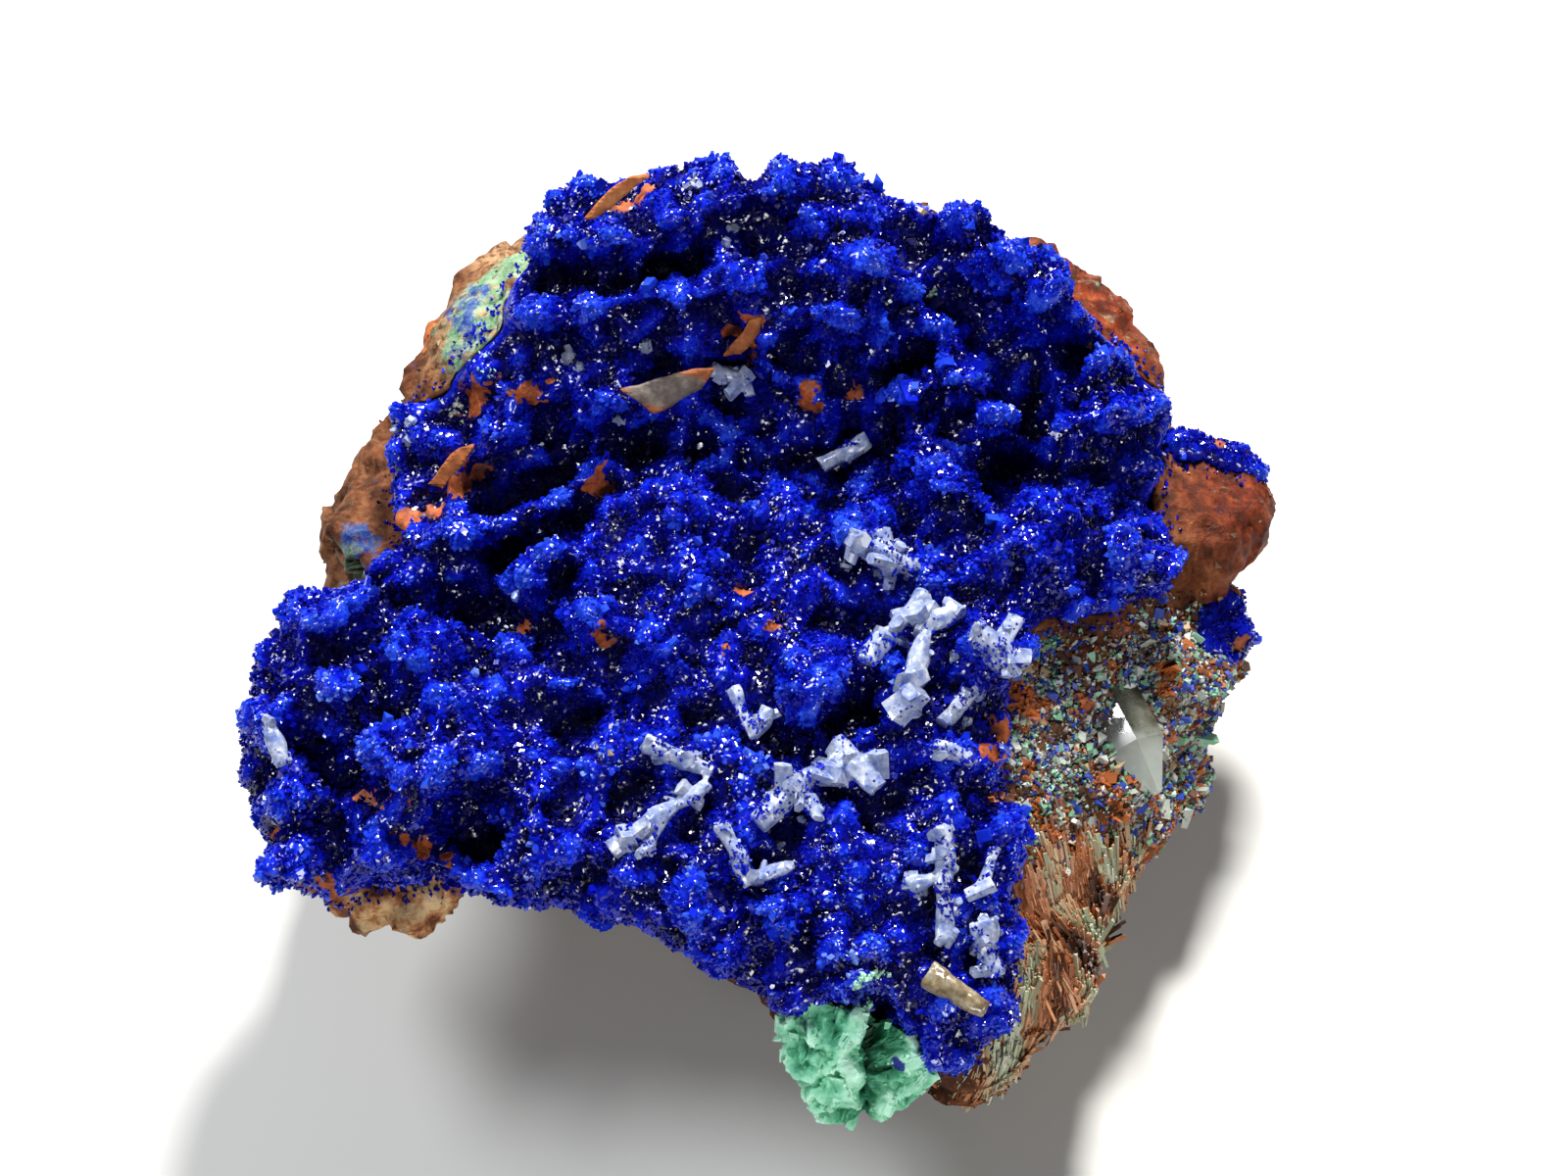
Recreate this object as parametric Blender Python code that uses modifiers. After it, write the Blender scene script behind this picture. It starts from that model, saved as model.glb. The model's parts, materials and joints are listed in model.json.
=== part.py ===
# Azurite specimen: a lumpy deep-blue crust on iron-stained rock, with green
# malachite at its front tip, a clear quartz crystal and pale lath crystals.
# Lengths are in millimetres until the last step, which turns them to metres.
# The face frame lies on the crust: u to the right, v up the face, w outward.
# The world frame has its origin on the flat foot, +Z up and the front to -Y.

import math

import bmesh
import bpy
from mathutils import Matrix, Vector, noise
from mathutils.bvhtree import BVHTree

MM = 0.001
OBJECT_NAME = "azurite_specimen"

FACE_TILT = math.radians(14.0)
FACE_HEIGHT = 8.4
CRUST_HALF = 0.85
CLEARANCE = 0.3
LATH_CLEARANCE = 0.12

CRUST_VOXEL = 0.24
CRUST_SMOOTHING = 4
ROCK_VOXEL = 0.36
LOFT_SMOOTHING = 3
ROCK_SMOOTHING = 2
CRUST_TRIANGLES = 5200
ROCK_TRIANGLES = 2760
MALACHITE_TRIANGLES = 420
KNOB_TRIANGLES = 130

CELL_SIZE = 1.35
CELL_HEIGHT = 0.75
FINE_CELL_SIZE = 0.75
FINE_CELL_HEIGHT = 0.2
CELL_REACH = 0.85
CELL_SINK = 0.35
UNDERSIDE_SHARE = 0.1
LEAN = 0.5
LUMP_GAIN = 1.4
LUMP_MIDDLE = 0.6
FURROW_GAIN = 1.3
DEEPEST = 1.2

SEAT_DEPTH = 5.0
SEAT_VOXEL = 0.5
SEAT_SMOOTHING = 2
SEAT_SKIN_VOXEL = 0.32
CRUST_SKIN_VOXEL = 0.3

# Roughness of the rock: broad swelling, grain, ledges and broken lumps.
BROAD_SIZE = 2.6
BROAD_HEIGHT = 0.45
GRAIN_SIZE = 1.1
GRAIN_HEIGHT = 0.16
LEDGE_PITCH = 3.2
LEDGE_HEIGHT = 0.12
LEDGE_SLANT = 0.9
LEDGE_WAVER = 2.0
BREAK_SIZE = 1.7
BREAK_HEIGHT = 0.1
ROUGH_BREAK_HEIGHT = 0.4
BREAK_SINK = 0.4
GRAIN_SHIFT = (7.0, 3.0, 5.0)
BREAK_SHIFT = (3.0, 9.0, 1.0)
ROUGH_FROM_X = 2.0
ROUGH_FADE_X = 4.0
ROUGH_TO_Y = 4.5
ROUGH_FADE_Y = 3.0
BLADE_WIDTH = 0.95
BLADE_TIP = 0.5
BLADE_FLATNESS = 0.34
BLADE_VOXEL = 0.3
GROUND_SPAN = 60.0
GROUND_BEVEL = 0.5

MALACHITE_VOXEL = 0.16
KNOB_VOXEL = 0.2
RIM_VOXEL = 0.15
BEAD_SIZE = 0.62
BEAD_HEIGHT = 0.22
BEAD_SINK = 0.08
BALL_ROUNDS = 3
KNOB_POCKET_VOXEL = 0.25
RIM_POCKET_VOXEL = 0.2
QUARTZ_POCKET_VOXEL = 0.18
MALACHITE_POCKET_VOXEL = 0.25

LATH_TAPER = 0.78
CROSSING_DROP = 0.25
LATH_FIRST_LIFT = 1.0
LATH_STEPS = 8
LATH_SIDES = (-1.0, -0.5, 0.0, 0.5, 1.0)
LATH_ROUNDS = 3
FLAKE_RISE = 1.2
ABOVE = 20.0

MERGE_DISTANCE = 0.0001
SLIVER = 0.01

# Places on the face are noted as seen from 23 degrees above its normal, so a
# raised point is moved down the face by this share of its height.
VIEW_SHEAR = 0.42
OUTLINE_FADE = 6.0

# Outline of the crust on its face, clockwise from the top left.
CRUST_OUTLINE = [
    (-5.5, 11.3), (-4.3, 12.0), (-2.1, 12.65), (0.2, 12.85), (2.2, 12.6), (4.0, 12.2),
    (5.7, 11.3), (6.95, 10.25), (8.1, 9.3), (9.25, 8.15), (9.5, 7.4), (10.3, 6.5),
    (10.1, 5.0), (9.8, 3.6), (10.3, 2.3), (10.0, 1.2), (8.5, 0.9), (6.9, 0.7),
    (6.2, -0.7), (5.9, -2.2), (5.9, -3.7), (5.9, -5.6), (6.0, -7.5), (6.0, -9.0),
    (5.4, -10.0), (4.4, -10.5), (3.9, -9.9), (3.0, -9.2), (1.9, -9.1), (0.9, -9.4),
    (-0.2, -8.5), (-1.5, -7.6), (-2.9, -7.0), (-4.7, -6.6), (-6.5, -6.3), (-7.6, -5.9),
    (-8.8, -6.0), (-9.8, -6.4), (-10.8, -6.0), (-11.6, -4.9), (-11.9, -3.7), (-11.8, -2.2),
    (-11.5, -0.8), (-10.8, 0.5), (-9.5, 1.3), (-8.7, 2.3), (-8.9, 3.9), (-8.9, 5.5),
    (-8.9, 6.4), (-7.6, 6.9), (-6.3, 7.8), (-6.0, 9.3), (-5.5, 10.2),
]

# Height of the crust's middle along v.
BASE_PROFILE = [
    (-14.0, -1.7), (-10.0, -0.9), (-7.5, -0.3), (-4.0, 0.0), (0.0, 0.0), (2.0, -0.35),
    (4.0, -0.8), (6.0, -0.1), (8.0, 1.0), (10.5, 1.8), (13.0, 1.5), (15.0, 0.6),
]

# Broad swellings and hollows of the crust: u, v, radius u, radius v, height.
SWELLS = [
    (-9.0, -2.0, 4.6, 4.2, 0.9), (1.5, 9.5, 5.0, 3.4, 0.7), (-6.0, 1.2, 2.4, 1.6, -0.7),
    (10.2, 5.0, 2.6, 5.0, -1.0), (-8.6, 5.0, 2.2, 3.2, -0.7), (3.4, -6.4, 3.4, 3.0, 0.25),
    (6.6, 2.6, 3.2, 2.0, 0.5), (-1.0, 3.0, 2.6, 2.4, 0.45), (-11.6, -4.5, 1.8, 3.0, -0.9),
    (5.0, -10.2, 2.0, 1.6, -0.4), (-1.6, -6.4, 3.0, 1.6, 0.2),
]

# Lumps and ledges: u, v, half length, half width, turn in degrees, height.
LUMPS = [
    (2.7, 9.8, 1.5, 0.62, -4, 1.0), (2.2, 8.4, 1.7, 0.62, -12, 1.25),
    (5.0, 6.8, 0.95, 0.6, -14, 0.9), (4.6, 4.15, 1.25, 0.75, -28, 1.2),
    (8.2, 6.95, 1.2, 0.5, 28, 0.95), (8.9, 5.9, 1.3, 0.5, 24, 0.95),
    (7.6, 5.2, 0.8, 0.6, 10, 0.7), (5.65, 10.3, 1.1, 0.34, 8, 0.85),
    (6.65, 9.95, 1.2, 0.34, 22, 0.9), (7.2, 9.4, 1.35, 0.34, 14, 0.95),
    (7.9, 8.55, 1.95, 0.36, -2, 0.95), (8.9, 9.0, 0.8, 0.34, 20, 0.7),
    (2.0, 12.1, 0.9, 0.6, 0, 0.6), (0.2, 11.5, 0.9, 0.65, 10, 0.7),
    (-1.8, 11.0, 0.85, 0.7, 0, 0.75), (-3.3, 10.3, 0.9, 0.75, 20, 0.7),
    (-4.8, 10.4, 0.75, 0.7, 0, 0.6), (-0.3, 9.6, 0.9, 0.7, 0, 0.7),
    (-2.0, 8.9, 0.8, 0.65, 0, 0.7), (-3.9, 8.6, 0.9, 0.6, 15, 0.7),
    (-5.4, 8.5, 0.85, 0.6, 20, 0.5), (0.4, 7.4, 0.8, 0.5, 0, 0.5),
    (3.4, 6.5, 0.8, 0.6, 0, 0.7), (5.8, 5.6, 0.8, 0.6, -10, 0.8),
    (-1.9, 3.3, 0.75, 1.2, 10, 0.85), (-1.3, 1.4, 0.7, 0.9, 0, 0.7),
    (0.6, 3.2, 1.0, 0.7, 0, 0.55), (2.4, 2.6, 0.8, 0.65, 0, 0.5),
    (7.5, 3.3, 1.1, 0.8, 0, 0.5), (9.0, 2.1, 0.95, 0.75, 0, 0.6),
    (6.2, 2.1, 1.0, 0.6, 0, 0.5), (4.6, 1.5, 0.9, 0.6, 0, 0.4),
    (-5.9, 3.0, 1.8, 0.42, 34, 0.95), (-5.0, 2.0, 1.6, 0.45, 34, 0.8),
    (-6.9, 4.4, 1.3, 0.42, 34, 0.7), (-7.4, 2.6, 1.1, 0.4, 34, 0.7),
    (-5.4, 1.0, 0.7, 0.55, 0, 0.8), (-3.3, 5.9, 0.9, 0.5, 15, 0.5),
    (1.35, -0.85, 1.05, 1.0, 0, 1.15), (1.35, -2.1, 0.95, 0.8, 0, 0.85),
    (-3.8, 0.3, 0.9, 0.8, 0, 0.6), (-2.1, -0.5, 0.8, 0.7, 0, 0.55),
    (-4.2, -1.3, 0.7, 0.6, 0, 0.5), (-9.8, 0.6, 1.1, 0.95, 0, 0.9),
    (-9.3, -1.1, 0.8, 0.65, 0, 0.8), (-8.0, -0.4, 0.85, 0.7, 0, 0.9),
    (-7.7, -3.0, 1.35, 1.2, 0, 1.0), (-6.3, -3.1, 0.7, 0.7, 0, 0.6),
    (-10.5, -3.9, 0.85, 0.8, 0, 0.7), (-10.6, -5.6, 0.85, 0.75, 0, 0.6),
    (-8.5, -5.1, 0.9, 0.65, 0, 0.6), (-7.0, -1.7, 0.75, 0.6, 0, 0.6),
    (-5.6, -1.3, 0.7, 0.55, 0, 0.5), (-5.2, -4.4, 0.8, 0.75, 0, 0.5),
    (-4.2, -5.5, 0.85, 0.6, 0, 0.5), (-2.8, -5.8, 0.7, 0.6, 0, 0.45),
    (-1.5, -6.5, 0.75, 0.6, 0, 0.5), (-3.4, -3.5, 0.8, 0.6, 0, 0.4),
    (0.4, -6.8, 0.8, 0.7, 0, 0.4), (1.9, -5.3, 0.9, 0.8, 0, 0.25),
    (2.1, -8.2, 0.9, 0.7, 0, 0.35), (4.9, -9.0, 0.9, 0.75, 0, 0.45),
    (4.2, -3.0, 0.8, 0.7, 0, 0.3), (3.2, -1.2, 0.8, 0.7, 0, 0.45),
    (5.4, -0.2, 0.75, 0.75, 0, 0.6), (-11.2, -2.2, 0.6, 0.7, 0, 0.5),
]

# Furrows: depth, half width, then points along each.
FURROWS = [
    (2.0, 0.55, [(3.0, 12.4), (3.5, 11.3), (4.2, 10.2), (5.2, 8.9), (6.2, 7.6), (6.6, 6.4)]),
    (1.5, 0.4, [(6.3, 7.7), (8.0, 7.85), (9.6, 8.0)]),
    (1.1, 0.4, [(0.8, 7.5), (2.2, 7.2), (3.9, 6.9)]),
    (1.3, 0.6, [(-0.7, 6.6), (0.3, 5.6), (1.6, 4.9), (3.0, 5.2)]),
    (0.8, 0.45, [(-3.2, 5.0), (-1.2, 4.9), (0.5, 4.6), (1.9, 4.1)]),
    (0.9, 0.4, [(-5.2, 5.2), (-3.6, 4.8)]),
    (1.7, 0.5, [(-7.8, 0.9), (-6.4, 0.4), (-5.2, 0.2), (-4.6, -0.4)]),
    (1.0, 0.35, [(-6.6, 3.3), (-5.0, 4.2), (-3.6, 5.2)]),
    (0.9, 0.3, [(-6.4, 1.9), (-5.0, 2.7), (-3.6, 3.8)]),
    (0.8, 0.35, [(-8.0, 3.3), (-6.6, 4.0)]),
    (0.9, 0.35, [(-8.3, 1.0), (-8.9, -0.2), (-8.7, -1.4)]),
    (0.8, 0.35, [(-10.2, -2.8), (-9.2, -3.6), (-8.6, -4.2)]),
    (0.9, 0.4, [(-6.6, -4.4), (-6.2, -5.3)]),
    (0.6, 0.4, [(-0.6, 4.4), (-0.5, 1.3)]),
    (0.9, 0.35, [(0.3, -2.9), (1.4, -2.9), (2.4, -2.2), (2.5, -1.2)]),
    (0.5, 0.4, [(-6.4, -0.3), (-4.9, -2.0), (-3.0, -2.2), (-0.6, -2.4)]),
    (0.8, 0.35, [(7.1, 7.0), (7.4, 6.2), (6.9, 5.2)]),
    (0.7, 0.35, [(7.9, 6.3), (9.4, 6.9)]),
    (0.6, 0.3, [(5.2, 5.0), (6.6, 4.3), (8.4, 4.6)]),
    (0.5, 0.35, [(-4.9, 9.4), (-3.3, 9.3), (-1.4, 9.9)]),
    (1.2, 0.45, [(4.0, 12.0), (4.7, 11.6)]),
]

# Rings of the rock from its foot up, each counter-clockwise from the front tip:
# height at y = 0, rise along y, share of the crust's bend, then x and y.
ROCK_RINGS = [
    (-1.6, 0.0, 0.0, [
        (4.4, -5.2), (6.0, -4.8), (7.4, -3.0), (8.2, -0.8), (8.5, 1.4), (8.5, 3.4), (8.1, 5.4),
        (6.9, 7.4), (4.6, 8.9), (1.6, 9.4), (-1.6, 9.2), (-4.4, 8.2), (-6.4, 6.4), (-7.2, 4.4),
        (-7.0, 2.6), (-5.8, 1.2), (-4.0, 0.4), (-1.8, -0.5), (0.4, -1.9), (2.6, -3.8)]),
    (1.5, 0.0, 0.0, [
        (5.0, -7.6), (6.6, -6.8), (8.2, -4.4), (9.6, -1.8), (10.5, 0.8), (10.9, 3.6), (10.4, 6.2),
        (8.6, 8.6), (5.4, 10.4), (1.8, 11.0), (-2.2, 10.8), (-5.6, 9.6), (-8.2, 7.4),
        (-9.3, 4.8), (-9.0, 2.6), (-7.8, 0.8), (-5.6, -0.2), (-3.0, -1.2), (0.0, -3.0),
        (2.8, -5.8)]),
    (4.2, 0.2, 0.0, [
        (4.4, -9.2), (6.0, -8.3), (8.2, -5.4), (10.0, -2.6), (11.8, 0.6), (12.4, 3.4), (11.7, 6.6),
        (9.5, 9.0), (6.0, 11.3), (1.8, 12.1), (-2.6, 11.8), (-6.6, 10.2), (-9.7, 7.9),
        (-11.2, 5.0), (-10.9, 2.4), (-10.9, -0.4), (-9.6, -2.6), (-6.2, -2.8), (-1.8, -4.2),
        (2.2, -7.2)]),
    (5.9, 0.25, 0.3, [
        (3.9, -9.3), (5.7, -8.5), (7.6, -5.4), (9.2, -2.6), (11.0, 0.4), (11.6, 3.2), (11.3, 6.4),
        (9.7, 8.7), (6.4, 11.2), (2.0, 12.0), (-2.4, 11.7), (-6.6, 10.2), (-9.4, 8.0),
        (-10.7, 5.6), (-10.2, 2.8), (-10.9, -0.9), (-10.2, -4.2), (-6.6, -5.0), (-2.4, -5.8),
        (1.4, -8.0)]),
    (7.3, 0.25, 1.0, [
        (3.4, -9.0), (5.2, -8.2), (6.2, -5.6), (6.7, -2.6), (8.0, 0.6), (10.0, 3.6), (10.2, 6.4),
        (8.9, 8.8), (6.0, 11.0), (2.0, 11.9), (-2.0, 11.6), (-5.6, 10.4), (-8.2, 8.2),
        (-9.3, 6.0), (-8.8, 3.0), (-10.4, -0.8), (-10.0, -4.2), (-6.4, -5.2), (-2.2, -6.2),
        (1.2, -8.0)]),
]

# Rounded masses of the rock: centre x, y, z and radii x, y, z.
ROCK_MASSES = [
    (-5.6, 7.5, 7.4, 3.3, 4.7, 5.1), (-8.4, 5.7, 5.6, 3.0, 3.7, 2.7),
    (5.5, 7.2, 8.0, 5.1, 4.7, 5.1), (7.4, 7.0, 7.2, 3.5, 3.4, 3.2),
    (8.9, -0.4, 3.7, 2.4, 2.8, 1.6), (6.8, -4.6, 3.5, 1.7, 3.2, 1.5),
    (-8.6, -5.3, 5.2, 1.7, 1.0, 0.8), (5.0, -7.8, 3.4, 1.1, 1.6, 1.4),
]

# Blocks of the rock: centre, size, turn about z and y in degrees, bevel.
ROCK_BLOCKS = [
    ((10.9, 4.8, 6.6), (2.8, 2.8, 3.3), -14, 12, 0.35),
    ((12.0, 5.2, 7.1), (2.6, 2.2, 2.0), -14, 14, 0.35),
    ((10.8, 2.2, 4.5), (3.0, 2.8, 1.7), 10, 14, 0.3),
    ((8.3, -2.2, 4.4), (2.2, 2.6, 1.6), 25, 24, 0.25),
]

# Flat breaks on the hidden sides of the rock: a point and the way each faces.
ROCK_BREAKS = [
    ((-8.2, 6.4, 2.4), (-0.72, 0.42, -0.55)), ((1.0, 11.2, 4.0), (0.05, 0.93, -0.36)),
    ((7.6, 8.6, 3.4), (0.62, 0.62, -0.48)), ((10.6, 1.0, 2.2), (0.85, 0.05, -0.52)),
    ((-6.6, -1.6, 2.0), (-0.5, -0.6, -0.62)), ((-8.6, 0.6, 2.6), (-0.8, -0.2, -0.56)),
    ((6.9, -6.2, 0.9), (0.62, -0.56, -0.55)),
]

# Steep blades on the front right flank: foot x, y, z, height, lean, turn.
ROCK_BLADES = [
    (8.7, -3.7, 2.4, 2.6, 20, 35), (8.2, -4.7, 2.2, 2.5, 18, 30), (7.7, -5.7, 2.0, 2.4, 16, 34),
    (7.2, -6.5, 1.8, 2.3, 14, 28), (6.6, -7.3, 1.6, 2.2, 14, 34), (5.9, -8.1, 1.5, 2.1, 12, 30),
    (9.2, -2.7, 2.7, 2.2, 22, 38), (7.2, -4.9, 3.3, 2.2, 24, 30), (6.7, -6.1, 2.9, 2.2, 22, 32),
]

# Malachite balls: u, v, w and radius.
MALACHITE_BALLS = [
    (1.5, -9.2, -1.1, 0.5), (2.0, -9.5, -0.9, 0.65), (1.3, -9.9, -1.4, 0.5),
    (2.3, -10.2, -1.4, 0.7), (1.9, -10.6, -1.8, 0.55), (2.7, -10.6, -1.8, 0.5),
    (3.2, -9.8, -1.2, 0.55), (3.6, -10.1, -1.5, 0.45), (3.0, -9.3, -1.0, 0.4),
    (3.4, -10.3, -2.0, 0.5), (2.6, -9.7, -1.0, 0.5), (1.5, -9.5, -1.9, 0.65),
    (2.5, -10.1, -2.2, 0.8), (2.1, -10.9, -2.1, 0.35), (1.0, -9.4, -1.4, 0.4),
]

# Small lumps of azurite on the right shoulder: u, v, w and radius.
KNOB_BALLS = [
    (12.1, 2.3, -3.6, 0.62), (12.2, 1.5, -3.7, 0.66), (11.9, 0.8, -3.8, 0.5),
    (11.6, 1.8, -3.3, 0.5), (11.5, 1.1, -3.3, 0.45), (11.8, 2.8, -3.5, 0.42),
]
RIM_BALLS = [
    (10.9, 6.1, -1.8, 0.42), (11.3, 6.05, -1.85, 0.42), (11.8, 5.9, -1.95, 0.4),
    (12.2, 5.8, -2.05, 0.4), (12.6, 5.65, -2.15, 0.36), (12.9, 5.5, -2.25, 0.32),
]

# Quartz crystal: foot and tip on the face frame, radius, flatness.
QUARTZ_FOOT = (8.7, -0.75, -2.2)
QUARTZ_TIP = (9.75, -3.3, -1.9)
QUARTZ_RADIUS = 0.86
QUARTZ_FLATNESS = 0.72
QUARTZ_SHOULDER = 0.55
QUARTZ_TIP_TAPER = 0.16

# Pale lath crystals: name, then each lath as u, v of both ends, width and thickness.
LATHS = [
    ("lath_a", [(-2.5, -2.5, -0.9, -3.2, 0.52, 0.4)]),
    ("lath_b", [(-2.9, -4.8, -1.0, -3.5, 0.5, 0.4), (-2.4, -5.1, -1.9, -4.1, 0.45, 0.36)]),
    ("lath_c", [(-0.7, -4.4, -0.1, -5.8, 0.5, 0.4), (-0.2, -5.8, 1.0, -5.4, 0.42, 0.36)]),
    ("lath_d", [(-0.5, -1.2, 0.05, -2.4, 0.42, 0.36), (0.35, -1.7, 0.0, -2.4, 0.4, 0.34)]),
    ("lath_e", [(0.1, -4.4, 1.7, -3.0, 0.6, 0.45), (0.7, -3.3, 1.5, -4.2, 0.5, 0.4)]),
    ("lath_f", [(1.8, -2.5, 2.9, -3.6, 0.75, 0.5), (2.9, -2.8, 1.9, -3.4, 0.5, 0.42)]),
    ("lath_g", [(2.6, -0.5, 4.0, 1.1, 0.55, 0.45), (3.9, 0.6, 3.2, 0.5, 0.4, 0.36)]),
    ("lath_h", [(3.5, -1.5, 4.1, 0.4, 0.5, 0.42), (3.8, 0.0, 4.8, 0.7, 0.55, 0.42)]),
    ("lath_i", [(5.0, 0.3, 6.1, -0.9, 0.75, 0.55), (6.1, 0.6, 5.4, -0.6, 0.6, 0.5)]),
    ("lath_j", [(5.0, -1.2, 4.5, -2.0, 0.45, 0.4)]),
    ("lath_k", [(4.1, -2.5, 5.0, -2.9, 0.36, 0.32)]),
    ("lath_l", [(2.3, 2.3, 3.9, 2.0, 0.55, 0.42), (3.0, 2.8, 3.2, 1.7, 0.5, 0.4)]),
    ("lath_m", [(1.6, 4.7, 2.8, 5.4, 0.55, 0.45)]),
    ("lath_n", [(-1.1, 7.6, -0.2, 7.4, 0.4, 0.32)]),
    ("lath_q", [(4.3, -4.4, 4.3, -7.2, 0.48, 0.4), (3.5, -5.9, 4.3, -5.6, 0.4, 0.36)]),
    ("lath_r", [(5.5, -5.0, 5.1, -6.1, 0.4, 0.36)]),
    ("lath_s", [(5.15, -6.7, 5.4, -8.0, 0.7, 0.5)]),
    ("lath_t", [(3.9, -7.9, 5.2, -8.7, 0.62, 0.5)]),
    ("lath_u", [(-11.0, -1.9, -10.6, -3.0, 0.5, 0.42)]),
]

# Thin iron-stained flakes standing in the crust: name, thickness, lean, outline.
FLAKES = [
    ("flake_grey", 0.22, 38, [
        (-3.3, 6.45), (-2.9, 6.2), (-2.5, 5.85), (-1.9, 6.1), (-1.3, 6.5), (-0.9, 7.0),
        (-1.5, 6.95), (-2.2, 6.75), (-2.8, 6.6)]),
    ("flake_orange", 0.2, 52, [
        (-0.85, 7.7), (-0.35, 7.75), (0.1, 8.3), (0.15, 8.75), (-0.1, 8.7), (-0.4, 8.2)]),
    ("flake_left", 0.2, 30, [
        (-8.0, 3.8), (-7.6, 3.7), (-7.1, 4.3), (-6.8, 4.8), (-7.2, 4.7), (-7.6, 4.3)]),
    ("flake_top", 0.2, 40, [
        (-4.2, 10.7), (-3.7, 10.8), (-3.0, 11.4), (-2.5, 11.8), (-3.0, 11.8), (-3.6, 11.4)]),
]

AZURITE = ("azurite", (0.012, 0.022, 0.42), 0.24, 0.0)
ROCK = ("iron_stained_rock", (0.42, 0.17, 0.085), 0.72, 0.0)
MALACHITE = ("malachite", (0.16, 0.62, 0.42), 0.5, 0.0)
QUARTZ = ("quartz", (0.78, 0.8, 0.76), 0.08, 0.0)
PALE_LATH = ("pale_crystal", (0.74, 0.78, 0.88), 0.28, 0.0)
TAN_LATH = ("tan_crystal", (0.6, 0.5, 0.36), 0.3, 0.0)
IRON_FLAKE = ("iron_flake", (0.62, 0.2, 0.05), 0.6, 0.0)

FACE_TO_WORLD = Matrix.Translation((0.0, 0.0, FACE_HEIGHT)) @ Matrix.Rotation(FACE_TILT, 4, "X")


# Scene

def remove_everything():
    for thing in list(bpy.data.objects):
        bpy.data.objects.remove(thing, do_unlink=True)
    for collection in list(bpy.data.collections):
        bpy.data.collections.remove(collection)


def new_collection(name):
    collection = bpy.data.collections.new(name)
    bpy.context.scene.collection.children.link(collection)
    return collection


def make_material(values):
    name, colour, roughness, metallic = values
    material = bpy.data.materials.new(name)
    material.use_nodes = True
    shader = material.node_tree.nodes["Principled BSDF"]
    shader.inputs["Base Color"].default_value = (*colour, 1.0)
    shader.inputs["Roughness"].default_value = roughness
    shader.inputs["Metallic"].default_value = metallic
    material.diffuse_color = (*colour, 1.0)
    return material


def object_from_bmesh(name, mesh_data, collection):
    mesh = bpy.data.meshes.new(name)
    mesh_data.to_mesh(mesh)
    mesh_data.free()
    thing = bpy.data.objects.new(name, mesh)
    collection.objects.link(thing)
    return thing


def discard(thing):
    bpy.data.objects.remove(thing, do_unlink=True)


# Modelling steps

def bake(thing):
    depsgraph = bpy.context.evaluated_depsgraph_get()
    mesh = bpy.data.meshes.new_from_object(thing.evaluated_get(depsgraph))
    thing.modifiers.clear()
    thing.data = mesh


def copy_of(thing, name):
    twin = thing.copy()
    twin.data = thing.data.copy()
    twin.name = name
    thing.users_collection[0].objects.link(twin)
    return twin


def merge_into(target, others):
    joined = bmesh.new()
    joined.from_mesh(target.data)
    for other in others:
        joined.from_mesh(other.data)
        discard(other)
    joined.to_mesh(target.data)
    joined.free()


def add_modifier(thing, kind, **settings):
    modifier = thing.modifiers.new(kind.lower(), kind)
    for key, value in settings.items():
        setattr(modifier, key, value)


def fuse(thing, voxel, smoothing):
    add_modifier(thing, "REMESH", mode="VOXEL", voxel_size=voxel, adaptivity=0.0)
    if smoothing:
        add_modifier(thing, "SMOOTH", factor=0.5, iterations=smoothing)
    bake(thing)


def thin_out(thing, triangles):
    mesh = bmesh.new()
    mesh.from_mesh(thing.data)
    bmesh.ops.triangulate(mesh, faces=mesh.faces[:])
    mesh.to_mesh(thing.data)
    count = len(mesh.faces)
    mesh.free()
    if count > triangles:
        add_modifier(thing, "DECIMATE", ratio=triangles / count)
        bake(thing)


def cut(thing, cutter):
    add_modifier(thing, "BOOLEAN", operation="DIFFERENCE", solver="EXACT", object=cutter)
    bake(thing)


def unite(thing, other):
    add_modifier(thing, "BOOLEAN", operation="UNION", solver="EXACT", object=other)
    bake(thing)
    discard(other)


def loose_parts(mesh):
    waiting = set(mesh.verts)
    parts = []
    while waiting:
        stack = [waiting.pop()]
        part = []
        while stack:
            vertex = stack.pop()
            part.append(vertex)
            for edge in vertex.link_edges:
                neighbour = edge.other_vert(vertex)
                if neighbour in waiting:
                    waiting.remove(neighbour)
                    stack.append(neighbour)
        parts.append(part)
    return parts


def keep_largest(thing):
    mesh = bmesh.new()
    mesh.from_mesh(thing.data)
    parts = sorted(loose_parts(mesh), key=len)
    for part in parts[:-1]:
        bmesh.ops.delete(mesh, geom=part, context="VERTS")
    mesh.to_mesh(thing.data)
    mesh.free()


def tidy_mesh(thing):
    mesh = bmesh.new()
    mesh.from_mesh(thing.data)
    bmesh.ops.triangulate(mesh, faces=mesh.faces[:])
    bmesh.ops.dissolve_degenerate(mesh, dist=SLIVER, edges=mesh.edges[:])
    bmesh.ops.triangulate(mesh, faces=mesh.faces[:])
    bmesh.ops.recalc_face_normals(mesh, faces=mesh.faces[:])
    mesh.to_mesh(thing.data)
    mesh.free()


def move_points(thing, change):
    mesh = bmesh.new()
    mesh.from_mesh(thing.data)
    mesh.normal_update()
    placed = [change(vertex.co.copy(), vertex.normal.copy()) for vertex in mesh.verts]
    for vertex, place in zip(mesh.verts, placed):
        vertex.co = place
    mesh.to_mesh(thing.data)
    mesh.free()


def swell(thing, amount):
    move_points(thing, lambda place, normal: place + normal * amount)


# Shape fields

def smooth_step(value):
    value = min(1.0, max(0.0, value))
    return value * value * (3.0 - 2.0 * value)


def profile_at(points, position):
    if position <= points[0][0]:
        return points[0][1]
    for (start, low), (end, high) in zip(points, points[1:]):
        if position <= end:
            return low + (high - low) * smooth_step((position - start) / (end - start))
    return points[-1][1]


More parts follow.
